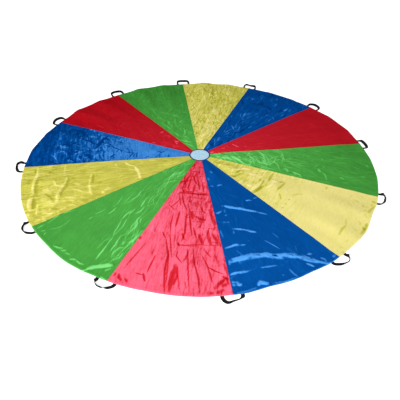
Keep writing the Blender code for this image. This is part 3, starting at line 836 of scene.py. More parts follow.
        (8, -1.5, -0.32, (-302, 1578), (-289, 1627)),
        (10, -2.0, -0.42, (-183, 1753), (-277, 1755), (-320, 1765)),
        (12, -2.5, -0.46, (114, 1773), (40, 1777), (-62, 1782)),
        (9, -2.0, -0.38, (9, 1756), (50, 1785)),
        (10, -2.0, -0.34, (12, 197), (-5, 278), (-16, 318)),
        (8, -1.5, -0.28, (13, 359), (-9, 413)), (6, -1.5, -0.24, (-201, 978), (-272, 1028)),
    ),
    11: (
        (13, 3.0, 0.55, (-27, 331), (28, 406), (101, 478)),
        (10, 2.5, 0.42, (-5, 277), (56, 351)), (9, 2.0, 0.34, (21, 233), (27, 312)),
        (8, 2.0, 0.34, (89, 447), (140, 572)),
        (6, 2.0, 0.56, (-160, 621), (-79, 671), (7, 692)),
        (5, 2.0, 0.46, (-140, 631), (-63, 709), (64, 739)),
        (6, 2.0, 0.46, (-177, 865), (-109, 884), (0, 890)),
        (6, 2.0, 0.48, (-57, 517), (38, 596)), (6, 2.0, 0.48, (-16, 595), (62, 634), (76, 676)),
        (5, 2.0, 0.40, (-22, 542), (-50, 594), (-12, 635)),
        (6, 2.0, 0.42, (85, 728), (25, 784), (-96, 817)),
        (6, 2.0, 0.48, (-6, 766), (69, 821), (150, 839)),
        (5, 1.5, 0.38, (-87, 728), (-40, 787)),
        (8, 2.0, 0.48, (126, 874), (137, 911), (186, 920)),
        (8, 2.0, 0.52, (174, 959), (210, 1033), (262, 1051)),
        (12, 2.5, 0.52, (88, 1230), (139, 1247)),
        (7, 2.0, 0.40, (124, 1248), (177, 1287), (269, 1295)),
        (7, 1.5, 0.32, (37, 1279), (50, 1302)), (9, 2.0, 0.42, (203, 1424), (230, 1465)),
        (7, 1.5, 0.32, (160, 1623), (171, 1676)), (8, 2.0, 0.42, (-59, 1724), (-20, 1747)),
        (7, 1.5, 0.26, (-48, 1412), (-48, 1534)), (6, 1.5, 0.22, (-136, 1443), (-139, 1585)),
        (6, 1.5, 0.26, (8, 1596), (36, 1647)), (6, 1.5, 0.22, (97, 1528), (119, 1615)),
        (6, 1.5, 0.18, (276, 1431), (284, 1500)),
        (6, 2.0, 0.40, (81, 616), (147, 727), (156, 793)),
        (6, 2.0, 0.42, (24, 671), (104, 711)), (6, 2.0, 0.40, (22, 567), (89, 582)),
        (6, 1.5, 0.24, (-45, 918), (-45, 1061)), (6, 1.5, 0.24, (35, 942), (59, 1146)),
        (6, 1.5, 0.28, (172, 682), (202, 782), (220, 873)),
    ),
}
print("drawn creases:", sum(len(rows) for rows in DRAWN.values()))

# %% The families of small creases
SCATTERED = {
    0: (
        (6, (-0.6, 0.7), (0.25, 0.6), 40, 40, (0.03, 0.07), 6, 1.5, 0.30),
        (16, (-0.9, 0.9), (0.4, 1.6), 5, 12, (0.08, 0.3), 8, 1.5, 0.08),
    ),
    1: (
        (26, (-0.85, 0.85), (0.3, 1.65), -10, 16, (0.10, 0.28), 20, 1.5, 0.14),
        (40, (-0.85, 0.85), (0.55, 1.72), -12, 22, (0.05, 0.16), 6.5, 1.5, 0.36),
        (34, (-0.9, 0.9), (0.2, 1.75), -8, 24, (0.06, 0.20), 11, -1.5, -0.26),
    ),
    2: (
        (90, (-0.95, 0.95), (0.2, 1.75), 4, 24, (0.04, 0.16), 6.5, 2.0, 0.36),
        (100, (-0.95, 0.95), (0.2, 1.77), 5, 26, (0.03, 0.14), 6.5, -1.5, -0.42),
    ),
    3: (
        (26, (-0.8, 0.8), (0.25, 1.2), 10, 30, (0.03, 0.16), 6, 1.5, 0.30),
        (16, (-0.9, 0.9), (0.6, 1.75), 5, 25, (0.05, 0.2), 9, 1.5, 0.10),
    ),
    4: (
        (8, (-0.8, 0.8), (0.2, 0.75), 30, 40, (0.03, 0.08), 6, 2.0, 0.28),
        (16, (-0.9, 0.9), (0.7, 1.7), 10, 30, (0.05, 0.2), 9, 1.5, 0.07),
    ),
    5: (
        (34, (-0.95, 0.9), (1.00, 1.62), 60, 50, (0.03, 0.13), 8, 2.0, 0.32),
        (44, (-0.95, 0.95), (0.90, 1.70), 60, 50, (0.03, 0.13), 9, -2.0, -0.42),
        (12, (-0.9, 0.9), (1.45, 1.75), 60, 40, (0.05, 0.14), 9, 1.5, 0.24),
        (16, (-0.9, 0.9), (0.3, 1.1), 70, 50, (0.02, 0.08), 6, -1.5, -0.34),
    ),
    6: (
        (16, (-0.95, 0.1), (1.25, 1.76), 65, 30, (0.05, 0.15), 12, 2.0, 0.16),
        (18, (-0.95, 0.9), (0.9, 1.7), 70, 30, (0.04, 0.14), 12, -1.5, -0.14),
        (14, (-0.2, 0.9), (0.7, 1.6), 8, 4, (0.20, 0.60), 4.5, 1.2, 0.15),
        (14, (-0.9, 0.9), (0.3, 0.9), 10, 30, (0.05, 0.15), 10, 1.5, 0.12),
        (16, (-0.9, 0.9), (1.68, 1.78), 0, 10, (0.03, 0.08), 5, 1.0, 0.26),
        (16, (-0.9, 0.9), (1.60, 1.78), 0, 10, (0.03, 0.08), 5, -1.0, -0.24),
        (18, (-0.95, -0.5), (1.0, 1.7), 20, 30, (0.02, 0.06), 6, 1.5, 0.26),
    ),
    7: (
        (14, (-0.92, -0.30), (0.75, 1.55), -16, 5, (0.14, 0.40), 4.5, 1.6, 0.22),
        (14, (-0.95, -0.60), (1.05, 1.65), -14, 9, (0.06, 0.18), 5, 1.8, 0.30),
        (22, (-0.8, 0.6), (0.30, 1.05), -6, 10, (0.08, 0.26), 5.5, 2.0, 0.24),
        (14, (-0.9, 0.9), (0.15, 0.5), -8, 16, (0.06, 0.15), 9, 2.0, 0.20),
    ),
    8: (
        (16, (-0.95, 0.55), (0.70, 1.32), 0, 14, (0.05, 0.16), 5.5, -1.8, -0.20),
        (10, (-0.95, 0.2), (0.70, 1.30), 75, 25, (0.03, 0.08), 6, -1.5, -0.24),
        (18, (-0.9, 0.9), (0.16, 0.66), 0, 14, (0.05, 0.14), 7, -1.8, -0.26),
        (10, (-0.9, 0.9), (0.16, 0.66), 80, 20, (0.03, 0.08), 7, -1.8, -0.22),
        (10, (-0.95, 0.95), (1.30, 1.78), -4, 8, (0.06, 0.20), 5, -1.2, -0.20),
        (14, (-0.9, 0.9), (0.3, 1.3), 5, 20, (0.04, 0.12), 10, 2.0, 0.12),
    ),
    9: (
        (22, (-0.9, 0.9), (0.4, 1.7), 5, 25, (0.05, 0.2), 7, 1.5, 0.10),
        (10, (0.2, 0.9), (0.6, 1.2), 5, 10, (0.05, 0.2), 6, 1.5, 0.12),
        (8, (-0.9, 0.9), (1.55, 1.77), 75, 25, (0.03, 0.07), 8, 2.0, 0.16),
    ),
    10: (
        (12, (-0.95, 0.95), (0.25, 0.85), 100, 16, (0.06, 0.16), 14, -2.5, -0.22),
        (14, (-0.95, 0.95), (0.25, 1.0), 98, 16, (0.05, 0.14), 12, 2.5, 0.20),
        (12, (-0.9, 0.9), (1.0, 1.75), 75, 30, (0.03, 0.12), 8, -1.5, -0.12),
        (12, (-0.9, 0.9), (1.70, 1.79), 60, 40, (0.03, 0.07), 9, -2.0, -0.26),
    ),
    11: (
        (56, (-0.95, 0.95), (0.15, 1.0), 25, 50, (0.04, 0.14), 5, 1.8, 0.34),
        (20, (-0.9, 0.9), (0.9, 1.4), 10, 40, (0.04, 0.12), 5, 1.5, 0.26),
        (20, (-0.9, 0.9), (1.2, 1.75), 3, 8, (0.06, 0.20), 6, 1.5, 0.14),
    ),
}
print("scattered creases:", sum(row[0] for rows in SCATTERED.values() for row in rows))

# %% [markdown]
# ## The sheen between the creases
#
# Each gore was cut with its threads at its own angle, so under the same light one
# gore shines pale and another looks deep. That sheen is painted into the colour here,
# together with part of the fall of light from the front and middle to the far rim.
# `PAINTED_SHEEN` gives each gore's painted sheen at five distances from the middle, and was
# tuned against the middle tones measured there in the photograph. `CRUMPLE_AND_PAINTED_SHADE`
# and
# `GLINT` say how strongly the painted shade of dark folds and the painted highlight of
# pale ones mark it there, and how deep their bump is, near its left edge and then near
# its right one. `CRUSHED` is the direction in which those folds run, in degrees from
# the gore's middle line. `PAINTED_HEM_HIGHLIGHT` is a painted highlight along each gore's
# turned edge, where that edge bends down to the floor.

# %% Sheen, folds and their direction on each gore
SHEEN_RADII = (0.27, 0.61, 0.95, 1.29, 1.63)
PAINTED_SHEEN = (
    (0.36, 0.27, 0.20, 0.15, 0.12),
    (0.36, 0.30, 0.27, 0.24, 0.23),
    (0.54, 0.56, 0.47, 0.41, 0.41),
    (0.36, 0.31, 0.25, 0.19, 0.15),
    (0.27, 0.17, 0.11, 0.06, 0.03),
    (0.78, 0.74, 0.68, 0.38, 0.12),
    (0.34, 0.31, 0.32, 0.31, 0.34),
    (0.36, 0.35, 0.33, 0.30, 0.25),
    (0.66, 0.74, 0.80, 0.82, 0.82),
    (0.33, 0.32, 0.31, 0.34, 0.35),
    (0.46, 0.62, 0.77, 0.84, 0.82),
    (0.54, 0.43, 0.34, 0.28, 0.21),
)
CRUMPLE_AND_PAINTED_SHADE = (
    ((0.10, 0.08, 0.05, 0.05, 0.05), (0.10, 0.08, 0.05, 0.05, 0.05)),
    ((0.15, 0.20, 0.25, 0.20, 0.20), (0.15, 0.20, 0.25, 0.20, 0.15)),
    ((0.50, 0.60, 0.65, 0.65, 0.60), (0.50, 0.60, 0.65, 0.65, 0.60)),
    ((0.20, 0.15, 0.15, 0.15, 0.15), (0.20, 0.15, 0.15, 0.15, 0.15)),
    ((0.12, 0.10, 0.08, 0.08, 0.08), (0.12, 0.10, 0.08, 0.08, 0.08)),
    ((0.15, 0.20, 0.35, 0.70, 0.60), (0.15, 0.20, 0.35, 0.70, 0.60)),
    ((0.40, 0.45, 0.40, 0.40, 0.45), (0.40, 0.35, 0.35, 0.45, 0.55)),
    ((0.15, 0.12, 0.08, 0.06, 0.06), (0.12, 0.10, 0.06, 0.05, 0.05)),
    ((0.35, 0.50, 0.62, 0.52, 0.40), (0.30, 0.35, 0.28, 0.18, 0.14)),
    ((0.05, 0.05, 0.05, 0.05, 0.05), (0.05, 0.05, 0.05, 0.05, 0.05)),
    ((0.45, 0.55, 0.30, 0.06, 0.08), (0.45, 0.55, 0.35, 0.08, 0.08)),
    ((0.30, 0.30, 0.20, 0.12, 0.10), (0.30, 0.30, 0.20, 0.12, 0.10)),
)
GLINT = (
    ((0.15, 0.10, 0.06, 0.05, 0.05), (0.15, 0.10, 0.06, 0.05, 0.05)),
    ((0.25, 0.25, 0.25, 0.20, 0.20), (0.25, 0.25, 0.25, 0.20, 0.20)),
    ((0.40, 0.50, 0.50, 0.50, 0.50), (0.40, 0.50, 0.50, 0.50, 0.50)),
    ((0.20, 0.15, 0.12, 0.12, 0.12), (0.20, 0.15, 0.12, 0.12, 0.12)),
    ((0.25, 0.20, 0.12, 0.08, 0.08), (0.25, 0.20, 0.12, 0.08, 0.08)),
    ((0.05, 0.08, 0.20, 0.55, 0.50), (0.05, 0.08, 0.20, 0.50, 0.40)),
    ((0.25, 0.30, 0.30, 0.40, 0.50), (0.20, 0.25, 0.25, 0.30, 0.35)),
    ((0.35, 0.35, 0.30, 0.25, 0.15), (0.30, 0.28, 0.18, 0.08, 0.10)),
    ((0.10, 0.10, 0.10, 0.10, 0.15), (0.10, 0.10, 0.10, 0.10, 0.10)),
    ((0.10, 0.10, 0.12, 0.15, 0.25), (0.20, 0.20, 0.20, 0.20, 0.25)),
    ((0.30, 0.40, 0.25, 0.06, 0.08), (0.30, 0.40, 0.25, 0.06, 0.08)),
    ((0.55, 0.55, 0.40, 0.20, 0.12), (0.55, 0.55, 0.40, 0.20, 0.12)),
)
CRUSHED = (10, -15, 4, 10, 20, 75, 6, -14, 0, 4, 80, 25)
PAINTED_HEM_HIGHLIGHT = (0.22, 0.22, 0.22, 0.22, 0.20, 0.22, 0.25, 0.50, 0.30, 0.50, 0.15, 0.20)
PAINTED_HEM_HIGHLIGHT_WIDTH = 0.012


def across_gore(table, radius, angle):
    """A table of left and right values at the sheen's radii, read at every point."""
    left, right = (np.interp(radius, SHEEN_RADII, side) for side in table)
    share = np.clip(angle / GORE_ANGLE, 0, 1)
    return left * share + right * (1 - share)


print("lustre of the first gore:", min(PAINTED_SHEEN[0]), "to", max(PAINTED_SHEEN[0]))

# %% [markdown]
# ## From the tables to lines on the floor
#
# A scattered crease is a short line that bows a little, and is weaker or stronger than
# its family. A broad bright crease, one with a painted highlight, is never one clean
# stripe: cloth that is pushed together there gathers in many small folds. So each one
# is frayed into short lines that lie along it, some with painted highlight, paler than
# the band, and some with painted shade, darker than it. All of them are drawn from one
# seeded generator, so they are the same in every run.

# %% Scatter, fray and collect the creases
CREASE_SEED = 12
BOW_SHARE = 0.12
STRENGTHS = (0.5, 1.2)
FRAYED_FROM = 10
FRAY_PITCH = 0.009
FRAY_SPREAD = 0.22
FRAY_HALF_LENGTHS = (0.012, 0.04)
FRAY_WIDTH_SHARES = (0.15, 0.4)
FRAY_SHINE_SHARE = 0.45


def on_gore(gore, point):
    """A point given on the flat gore, as a point of the floor."""
    middle = (gore + 0.5) * GORE_ANGLE
    right, out = point
    away = np.array((math.cos(middle), math.sin(middle)))
    aside = np.array((math.sin(middle), -math.cos(middle)))
    return away * out + aside * right


def scattered_creases(gore, generator):
    """Creases at random places: (points in metres, width, height, lustre)."""
    rows = []
    for count, sides, ends, heading, spread, runs, width, height, shine in SCATTERED[gore]:
        for _ in range(count):
            out = generator.uniform(*ends)
            half_width = out * math.tan(GORE_ANGLE / 2)
            right = generator.uniform(*sides) * half_width
            turn = math.radians(heading + generator.normal() * spread)
            run = generator.uniform(*runs)
            bow = generator.normal() * BOW_SHARE * run
            points = []
            for step in (-0.5, 0.0, 0.5):
                forward, sideways = step * run, bow * (1 - 4 * step * step)
                aside = forward * math.sin(turn) + sideways * math.cos(turn)
                ahead = forward * math.cos(turn) - sideways * math.sin(turn)
                points.append((right + aside, out + ahead))
            strength = generator.uniform(*STRENGTHS)
            rows.append((points, width, height * strength, shine * strength))
    return rows


def frayed(points, width, height, shine, generator):
    """A broad crease as a band, and the many small folds that lie along it."""
    line = np.array(points)
    gone = np.concatenate(([0], np.cumsum(np.hypot(*np.diff(line, axis=0).T))))
    rows = [(points, width, height, shine)]
    for _ in range(int(gone[-1] / FRAY_PITCH)):
        place = generator.uniform(0, gone[-1])
        spot = np.array([np.interp(place, gone, line[:, side]) for side in (0, 1)])
        leg = min(np.searchsorted(gone, place), len(line) - 1)
        onward = line[leg] - line[leg - 1]
        turn = math.atan2(onward[1], onward[0]) + generator.normal() * FRAY_SPREAD
        way = np.array((math.cos(turn), math.sin(turn)))
        aside = np.array((-way[1], way[0])) * generator.normal() * 0.5 * width / MM_PER_METRE
        half = way * generator.uniform(*FRAY_HALF_LENGTHS)
        ends = [tuple(spot + aside - half), tuple(spot + aside + half)]
        share = generator.uniform(*FRAY_WIDTH_SHARES)
        bright = generator.uniform(-1, 1) * FRAY_SHINE_SHARE
        rows.append((ends, width * share, height * share / 2, shine * bright))
    return rows


def all_creases():
    """Every crease: (its gore, its points on the floor, width, height, lustre)."""
    generator = np.random.default_rng(CREASE_SEED)
    creases = []
    for gore in range(GORE_COUNT):
        rows = scattered_creases(gore, generator)
        for width, height, shine, *spots in DRAWN[gore]:
            points = [(right / MM_PER_METRE, out / MM_PER_METRE) for right, out in spots]
            row = (points, width, height, shine)
            broad = width >= FRAYED_FROM and shine > 0
            rows += frayed(*row, generator) if broad else [row]
        for points, width, height, shine in rows:
            line = np.array([on_gore(gore, point) for point in points])
            creases.append((gore, line, width / MM_PER_METRE, height / MM_PER_METRE, shine))
    return creases


creases = all_creases()
print("creases:", len(creases))

# %% [markdown]
# ## Pressing the creases into the cloth
#
# A crease raises the cloth most on its line, and fades to both sides as a bell curve
# does. Its painted highlight or shade has a sharper edge, as a pressed fold has, and is
# painted a little stronger on one side than on the other, as if lit from that side. It
# tapers at its ends. Only points near the line are worked out, which keeps so many
# creases quick. Creases fade out at the vent and over the handles' sewn ends, where the
# cloth is held flat, and the total is held between limits.

# %% Height and lustre of the creases
CREASE_LIMIT = 0.006
CREASE_REACH = 3
FOLD_EDGE = 1.1
TIP_WIDTH_SHARE = 0.35
SIDE_SHADE = 0.25
VENT_FADE = 0.05


def felt(x, y, line, width):
    """Points near a crease, how far it raises them, how much painted shine it lays there, and
    its side.
    """
    reach = CREASE_REACH * width
    low, high = line.min(0) - reach, line.max(0) + reach
    near = np.flatnonzero((x > low[0]) & (x < high[0]) & (y > low[1]) & (y < high[1]))
    strength, shine, signed = np.zeros((3, len(near)))
    if not len(near):
        return near, strength, shine, signed
    spans = np.hypot(*np.diff(line, axis=0).T)
    gone = 0.0
    for start, step, span in zip(line, np.diff(line, axis=0), spans):
        right, up = x[near] - start[0], y[near] - start[1]
        share = np.clip((right * step[0] + up * step[1]) / span**2, 0, 1)
        off = np.hypot(right - share * step[0], up - share * step[1])
        side = np.sign(step[0] * up - step[1] * right)
        place = (gone + share * span) / spans.sum()
        taper = np.sqrt(np.clip(4 * place * (1 - place), 0, 1))
        off = off / (width * (TIP_WIDTH_SHARE + (1 - TIP_WIDTH_SHARE) * taper))
        bell = np.exp(-(off**2)) * taper
        stronger = bell > strength
        strength = np.where(stronger, bell, strength)
        flat_topped = eased(FOLD_EDGE * (1 - off) + 0.5) * np.sqrt(taper)
        shine = np.where(stronger, flat_topped, shine)
        signed = np.where(stronger, side * off, signed)
        gone += span
    return near, strength, shine, signed


def press_creases(x, y, gore):
    """Height that the creases add at each point, and the painted highlight and shade that one
    gore's creases add.
    """
    height, lustre = np.zeros(len(x)), np.zeros(len(x))
    for owner, line, width, rise, sheen in creases:
        near, strength, shine, signed = felt(x, y, line, width)
        height[near] += rise * strength
        # A crease's painted shine is stronger on one side of it than the other, as if lit from
        # that side.
        if owner == gore:
            lustre[near] += sheen * shine * (1 - SIDE_SHADE * np.clip(signed, -1, 1))
    height = CREASE_LIMIT * np.tanh(height / CREASE_LIMIT)
    radius = np.hypot(x, y)
    seam_angle = np.mod(np.arctan2(y, x) + GORE_ANGLE / 2, GORE_ANGLE) - GORE_ANGLE / 2
    from_seam = np.abs(seam_angle) * radius
    flat_hem = eased((radius - HEM_FOOT + LIFT_RUN / 2) / (LIFT_RUN / 2))
    flat_seam = 1 - eased((from_seam - HANDLE_ZONE) / LIFT_RUN)
    held = eased((radius - GORE_INNER - BINDING_WIDTH / 2) / VENT_FADE)
    return height * held * (1 - flat_hem * flat_seam), lustre


print("creases are held to", CREASE_LIMIT * MM_PER_METRE, "mm")

# %% [markdown]
# ## Slack cloth, and the rim's true line
#
# The cloth is never pulled quite flat. A broad swell rolls over it: waves of uneven
# lengths, bent by one another so that they never repeat. Its hem flutters, because the
# hem is longer than the circle needs. Seen from above, the rim isn't a true circle
# either: it was pulled out by hand, further here than there. `RIM_WANDER` gives how far
# it stands outside the circle, in millimetres, a quarter, a half and three quarters of
# the way between two handles. It rests on the edge that a small program found in the
# photograph. Three sine waves pass through those places, and leave the handles where
# they are.

# %% Swell, flutter and wander
SWELL_HEIGHT = 0.0012
SMALL_SWELL_HEIGHT = 0.0007
SWELL_FADE = 0.15
SWELL_START = GORE_INNER + 0.01
SWELL_END = 1.55
FLUTTER_HEIGHT = 0.004
FLUTTERS_ACROSS = 5
FLUTTER_START = 1.52
FLUTTER_RUN = 0.26
FLUTTER_SHARES = (0.5, 0.7, 0.9, 0.8, 0.7, 0.7, 0.5, 0.4, 0.4, 0.5, 0.3, 0.5)
WANDER_START = 0.9
WANDER_PLACES = 3
RIM_WANDER = (
    (6, 9, 7), (-13, -1, -10), (3, 15, 14), (-9, 8, -3), (-8, 9, 7), (-3, 2, 3),
    (-3, -1, 0), (0, 7, 9), (-1, -1, 4), (-12, -9, -9), (8, 6, -12), (-1, 0, -2),
)


def rolling(x, y):
    """The broad, low swell of cloth that was never pulled quite flat."""
    radius = np.hypot(x, y)
    swell = np.sin(5.1 * x + 1.7 * np.sin(3.3 * y)) + np.sin(4.3 * y + 1.9 * np.sin(4.1 * x))
    small = np.sin(17 * x + 2 * np.sin(11 * y)) * np.sin(15 * y + 2 * np.sin(13 * x))
    inner = eased((radius - SWELL_START) / SWELL_FADE)
    fade = inner * (1 - eased((radius - SWELL_END) / SWELL_FADE))
    return fade * (SWELL_HEIGHT * (swell + 2) + SMALL_SWELL_HEIGHT * (small + 1))


def flutter(gore, radius, angle):
    """The small waves of a hem that is longer than the rim's circle needs."""
    across = between_handles(angle)
    wave = np.sin(FLUTTERS_ACROSS * math.pi * across + 0.9 * np.sin(math.pi * across * 2))
    wave = wave**2 * (0.7 + 0.3 * np.sin(7 * across + gore))
    height = FLUTTER_HEIGHT * FLUTTER_SHARES[gore] * wave
    return height * eased((radius - FLUTTER_START) / FLUTTER_RUN)


def wandered(gore, radius, angle):
    """The radius out to which the cloth really reaches, as it was pulled out by hand."""
    across = between_handles(angle)
    orders = np.arange(1, WANDER_PLACES + 1)
    turns = np.sin(math.pi * np.outer(orders, orders) / (WANDER_PLACES + 1))
    parts = turns @ RIM_WANDER[gore] / (2 * MM_PER_METRE)
    wave = sum(part * np.sin(order * math.pi * across) for part, order in zip(parts, orders))
    return radius + wave * eased((radius - WANDER_START) / (CANOPY_RADIUS - WANDER_START))


def on_floor(gore, radius, angle, height):
    """Points in space, from places on a gore as it was cut and their heights."""
    turned = gore * GORE_ANGLE + angle
    reach = wandered(gore, radius, angle)
    return np.stack((reach * np.cos(turned), reach * np.sin(turned), height), axis=1)


def cloth_underside(gore, radius, angle):
    """Height of a gore's underside and its creases' painted shine, at radii and angles."""
    turned = gore * GORE_ANGLE + angle
    x, y = radius * np.cos(turned), radius * np.sin(turned)
    pressed, lustre = press_creases(x, y, gore)
    height = lie_of_cloth(gore, radius, angle) + rolling(x, y) + pressed
    height = height + flutter(gore, radius, angle)
    return np.maximum(height, 0) + lap_rise(radius, angle), lustre


print("the rim wanders by up to", max(max(map(abs, row)) for row in RIM_WANDER), "mm")

# %% [markdown]
# ## The gores
#
# A gore is one wedge of cloth. Its rows run from the vent to the rim, closer together
# at the hem, and its columns follow the laps at both seams. `FINENESS` gives the gores
# with the finest creases more of both. The sheet is drawn with no thickness, and a
# Solidify modifier gives it one that doubles at the hem, where the cloth is folded
# under. Both UV maps are in metres on the flat gore, and stand apart for each gore, so
# that no two show the same pattern.

# %% Make the twelve gores
FIELD_ROWS = 195
FIELD_COLUMNS = 96
HEM_ROWS = 5
MAPS_APART = 2.0
FINENESS = (0.9, 0.95, 1.0, 0.9, 0.9, 1.15, 1.2, 1.5, 1.5, 1.45, 1.2, 1.1)


def link(name, mesh, material=None):
    made = bpy.data.objects.new(name, mesh)
    bpy.context.scene.collection.objects.link(made)
    if material:
        mesh.materials.append(material)
    return made


def gore_grid(fineness):
    """Radius and angle of each point of a gore, as two arrays of rows and columns."""
    field = np.linspace(GORE_INNER, HEM_FOOT, round(FIELD_ROWS * fineness))
    hem = np.linspace(CANOPY_RADIUS - HEM_WIDTH, CANOPY_RADIUS, HEM_ROWS)
    radii = np.concatenate((field, hem))[:, None]
    foot, top, edge = lap_edges(radii)
    shares = np.linspace(0, 1, round(FIELD_COLUMNS * fineness))[None, :]
    middle = foot + (GORE_ANGLE - 2 * foot) * shares
    angles = np.hstack((-edge, middle, GORE_ANGLE - top, GORE_ANGLE + edge))
    return np.broadcast_to(radii, angles.shape), angles


def grid_faces(rows, columns):
    corner = (np.arange(rows - 1)[:, None] * columns + np.arange(columns - 1)).ravel()
    return np.stack((corner, corner + columns, corner + columns + 1, corner + 1), axis=1)


def paint_points(mesh, name, values):
    layer = mesh.attributes.new(name, "FLOAT", "POINT")
    layer.data.foreach_set("value", np.asarray(values, np.float32))


def paint_corners(mesh, name, right, up):
    corners = np.zeros(len(mesh.loops), np.int32)
    mesh.loops.foreach_get("vertex_index", corners)
    layer = mesh.uv_layers.new(name=name)
    places = np.stack((right, up), axis=1)[corners]
    layer.data.foreach_set("uv", places.astype(np.float32).ravel())


def make_gore(gore):
    colour = COLOURS[gore % len(COLOURS)]
    number = gore // len(COLOURS) + 1
    radii, angles = gore_grid(FINENESS[gore])
    rows, columns = angles.shape
    radius, angle = radii.ravel(), angles.ravel()
    height, pressed = cloth_underside(gore, radius, angle)
    points = on_floor(gore, radius, angle, height)
    mesh = bpy.data.meshes.new(f"sheet_{colour}_{number}")
    mesh.from_pydata(points.tolist(), [], grid_faces(rows, columns).tolist())
    mesh.shade_smooth()

    # Painted sheen: the gore's own, its creases' painted highlights and shades, and a painted
    # highlight along the hem.
    shine = np.interp(radius, SHEEN_RADII, PAINTED_SHEEN[gore]) + pressed
    edge = eased((radius - CANOPY_RADIUS) / PAINTED_HEM_HIGHLIGHT_WIDTH + 1)
    paint_points(mesh, "lustre", shine + PAINTED_HEM_HIGHLIGHT[gore] * edge)
    paint_points(mesh, "crumple", across_gore(CRUMPLE_AND_PAINTED_SHADE[gore], radius, angle))
    paint_points(mesh, "glint", across_gore(GLINT[gore], radius, angle))
    aside = -radius * np.sin(angle - GORE_ANGLE / 2)
    ahead = radius * np.cos(angle - GORE_ANGLE / 2)
    crushed = math.radians(CRUSHED[gore])
    paint_corners(mesh, "cut", aside + gore * MAPS_APART, ahead)
    right = aside * math.cos(crushed) - ahead * math.sin(crushed) + gore * MAPS_APART
    up = aside * math.sin(crushed) + ahead * math.cos(crushed)
    paint_corners(mesh, "grain", right, up)

    sheet = link(mesh.name, mesh, cloth_finishes[colour])
    hem = np.flatnonzero(radius > HEM_FOOT + HEM_RISE_RUN / 2)
    sheet.vertex_groups.new(name="hem").add(hem.tolist(), 1.0, "REPLACE")
    cloth = sheet.modifiers.new("cloth", "SOLIDIFY")
    cloth.offset = 1
    cloth.thickness = HEM_THICKNESS
    cloth.vertex_group = "hem"
    cloth.thickness_vertex_group = CLOTH_THICKNESS / HEM_THICKNESS
    sheet.modifiers.new("even shading", "WEIGHTED_NORMAL")
    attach(sheet, "canopy")
    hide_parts(f"gore_{colour}_{number}")
    return sheet


sheets = [make_gore(gore) for gore in range(GORE_COUNT)]
print("quads in one gore:", len(sheets[0].data.polygons))

# %% [markdown]
# ## Stitches
#
# Two rows of stitches hold each seam, one holds the hem, two hold the vent's binding,
# and a square with a cross holds each end of a handle. A stitch is a short thread, so
# one tree of Geometry Nodes serves them all: it takes any line, marks it off at the
# stitch pitch, and lays a thread along it at every mark. The lines are worked out on
# top of the cloth, creases and all, so that no stitch floats or sinks.

# %% Recipes, and how an object follows one
def new_recipe(name, **sockets):
    """A tree of Geometry Nodes with named inputs: (its group, its input wires, helper)."""
    group = bpy.data.node_groups.new(name, "GeometryNodeTree")
    tree = Tree(group)
    for socket, kind in sockets.items():
        group.interface.new_socket(socket, in_out="INPUT", socket_type=f"NodeSocket{kind}")
    group.interface.new_socket("Made", in_out="OUTPUT", socket_type="NodeSocketGeometry")
    start = group.nodes.new("NodeGroupInput")
    wires = {socket: Wire(tree, start.outputs[socket]) for socket in sockets}
    return group, wires, tree


def end_recipe(tree, geometry, finish):
    """The last steps of every recipe: its finish, and its way out."""
    inputs = {"Geometry": geometry, "Material": finish}
    done = tree.node("GeometryNodeSetMaterial", None, inputs)
    tree.node("NodeGroupOutput", None, {"Made": done})


def follow(thing, recipe, **inputs):
    """Runs a recipe on an object and keeps its result as the object's plain mesh."""
    step = thing.modifiers.new(recipe.name, "NODES")
    step.node_group = recipe
    for name, value in inputs.items():
        step[recipe.interface.items_tree[name].identifier] = value
    view = bpy.context.evaluated_depsgraph_get()
    made = bpy.data.meshes.new_from_object(thing.evaluated_get(view), depsgraph=view)
    made.name = thing.name
    thing.modifiers.remove(step)
    thing.data = made
    return thing


def lines_object(name, lines, closed=False):
    """An object of bare edges along lists of points."""
    points, edges = [], []
    for line in lines:
        first = len(points)
        points += [tuple(point) for point in line]
        edges += [(n, n + 1) for n in range(first, len(points) - 1)]
        if closed:
            edges.append((len(points) - 1, first))
    mesh = bpy.data.meshes.new(name)
    mesh.from_pydata(points, edges, [])
    return link(name, mesh)


print("recipe helpers ready")

# %% A tree that sews along any line
THREAD_WIDTH = 0.0007
SEAM_PITCH = 0.0055
SEAM_STITCH = 0.0042
FIBRES_PER_METRE = 900.0
FIBRE_DEPTH = 0.0002


def sewing_recipe():
    sockets = {"Line": "Geometry", "Pitch": "Float", "Stitch": "Float", "Thread": "Float"}
    group, given, tree = new_recipe("sewing", **sockets, Finish="Material")
    line = tree.node("GeometryNodeMeshToCurve", None, {"Mesh": given["Line"]})
    spaced = {"Curve": line, "Length": given["Pitch"]}
    marks = tree.node("GeometryNodeResampleCurve", {"mode": "LENGTH"}, spaced)
    grain = tree.node("GeometryNodeMeshIcoSphere", None, {"Radius": 0.5, "Subdivisions": 1})
    onward = {"Vector": tree.node("GeometryNodeInputTangent")}
    turn = tree.node("FunctionNodeAlignRotationToVector", {"axis": "X"}, onward)
    size = {"X": given["Stitch"], "Y": given["Thread"], "Z": given["Thread"]}
    scale = tree.node("ShaderNodeCombineXYZ", None, size)
    stitches = {"Points": marks, "Instance": grain, "Rotation": turn, "Scale": scale}
    laid = tree.node("GeometryNodeInstanceOnPoints", None, stitches)
    real = tree.node("GeometryNodeRealizeInstances", None, {"Geometry": laid})
    smooth = tree.node("GeometryNodeSetShadeSmooth", None, {"Geometry": real})
    end_recipe(tree, smooth, given["Finish"])
    return group


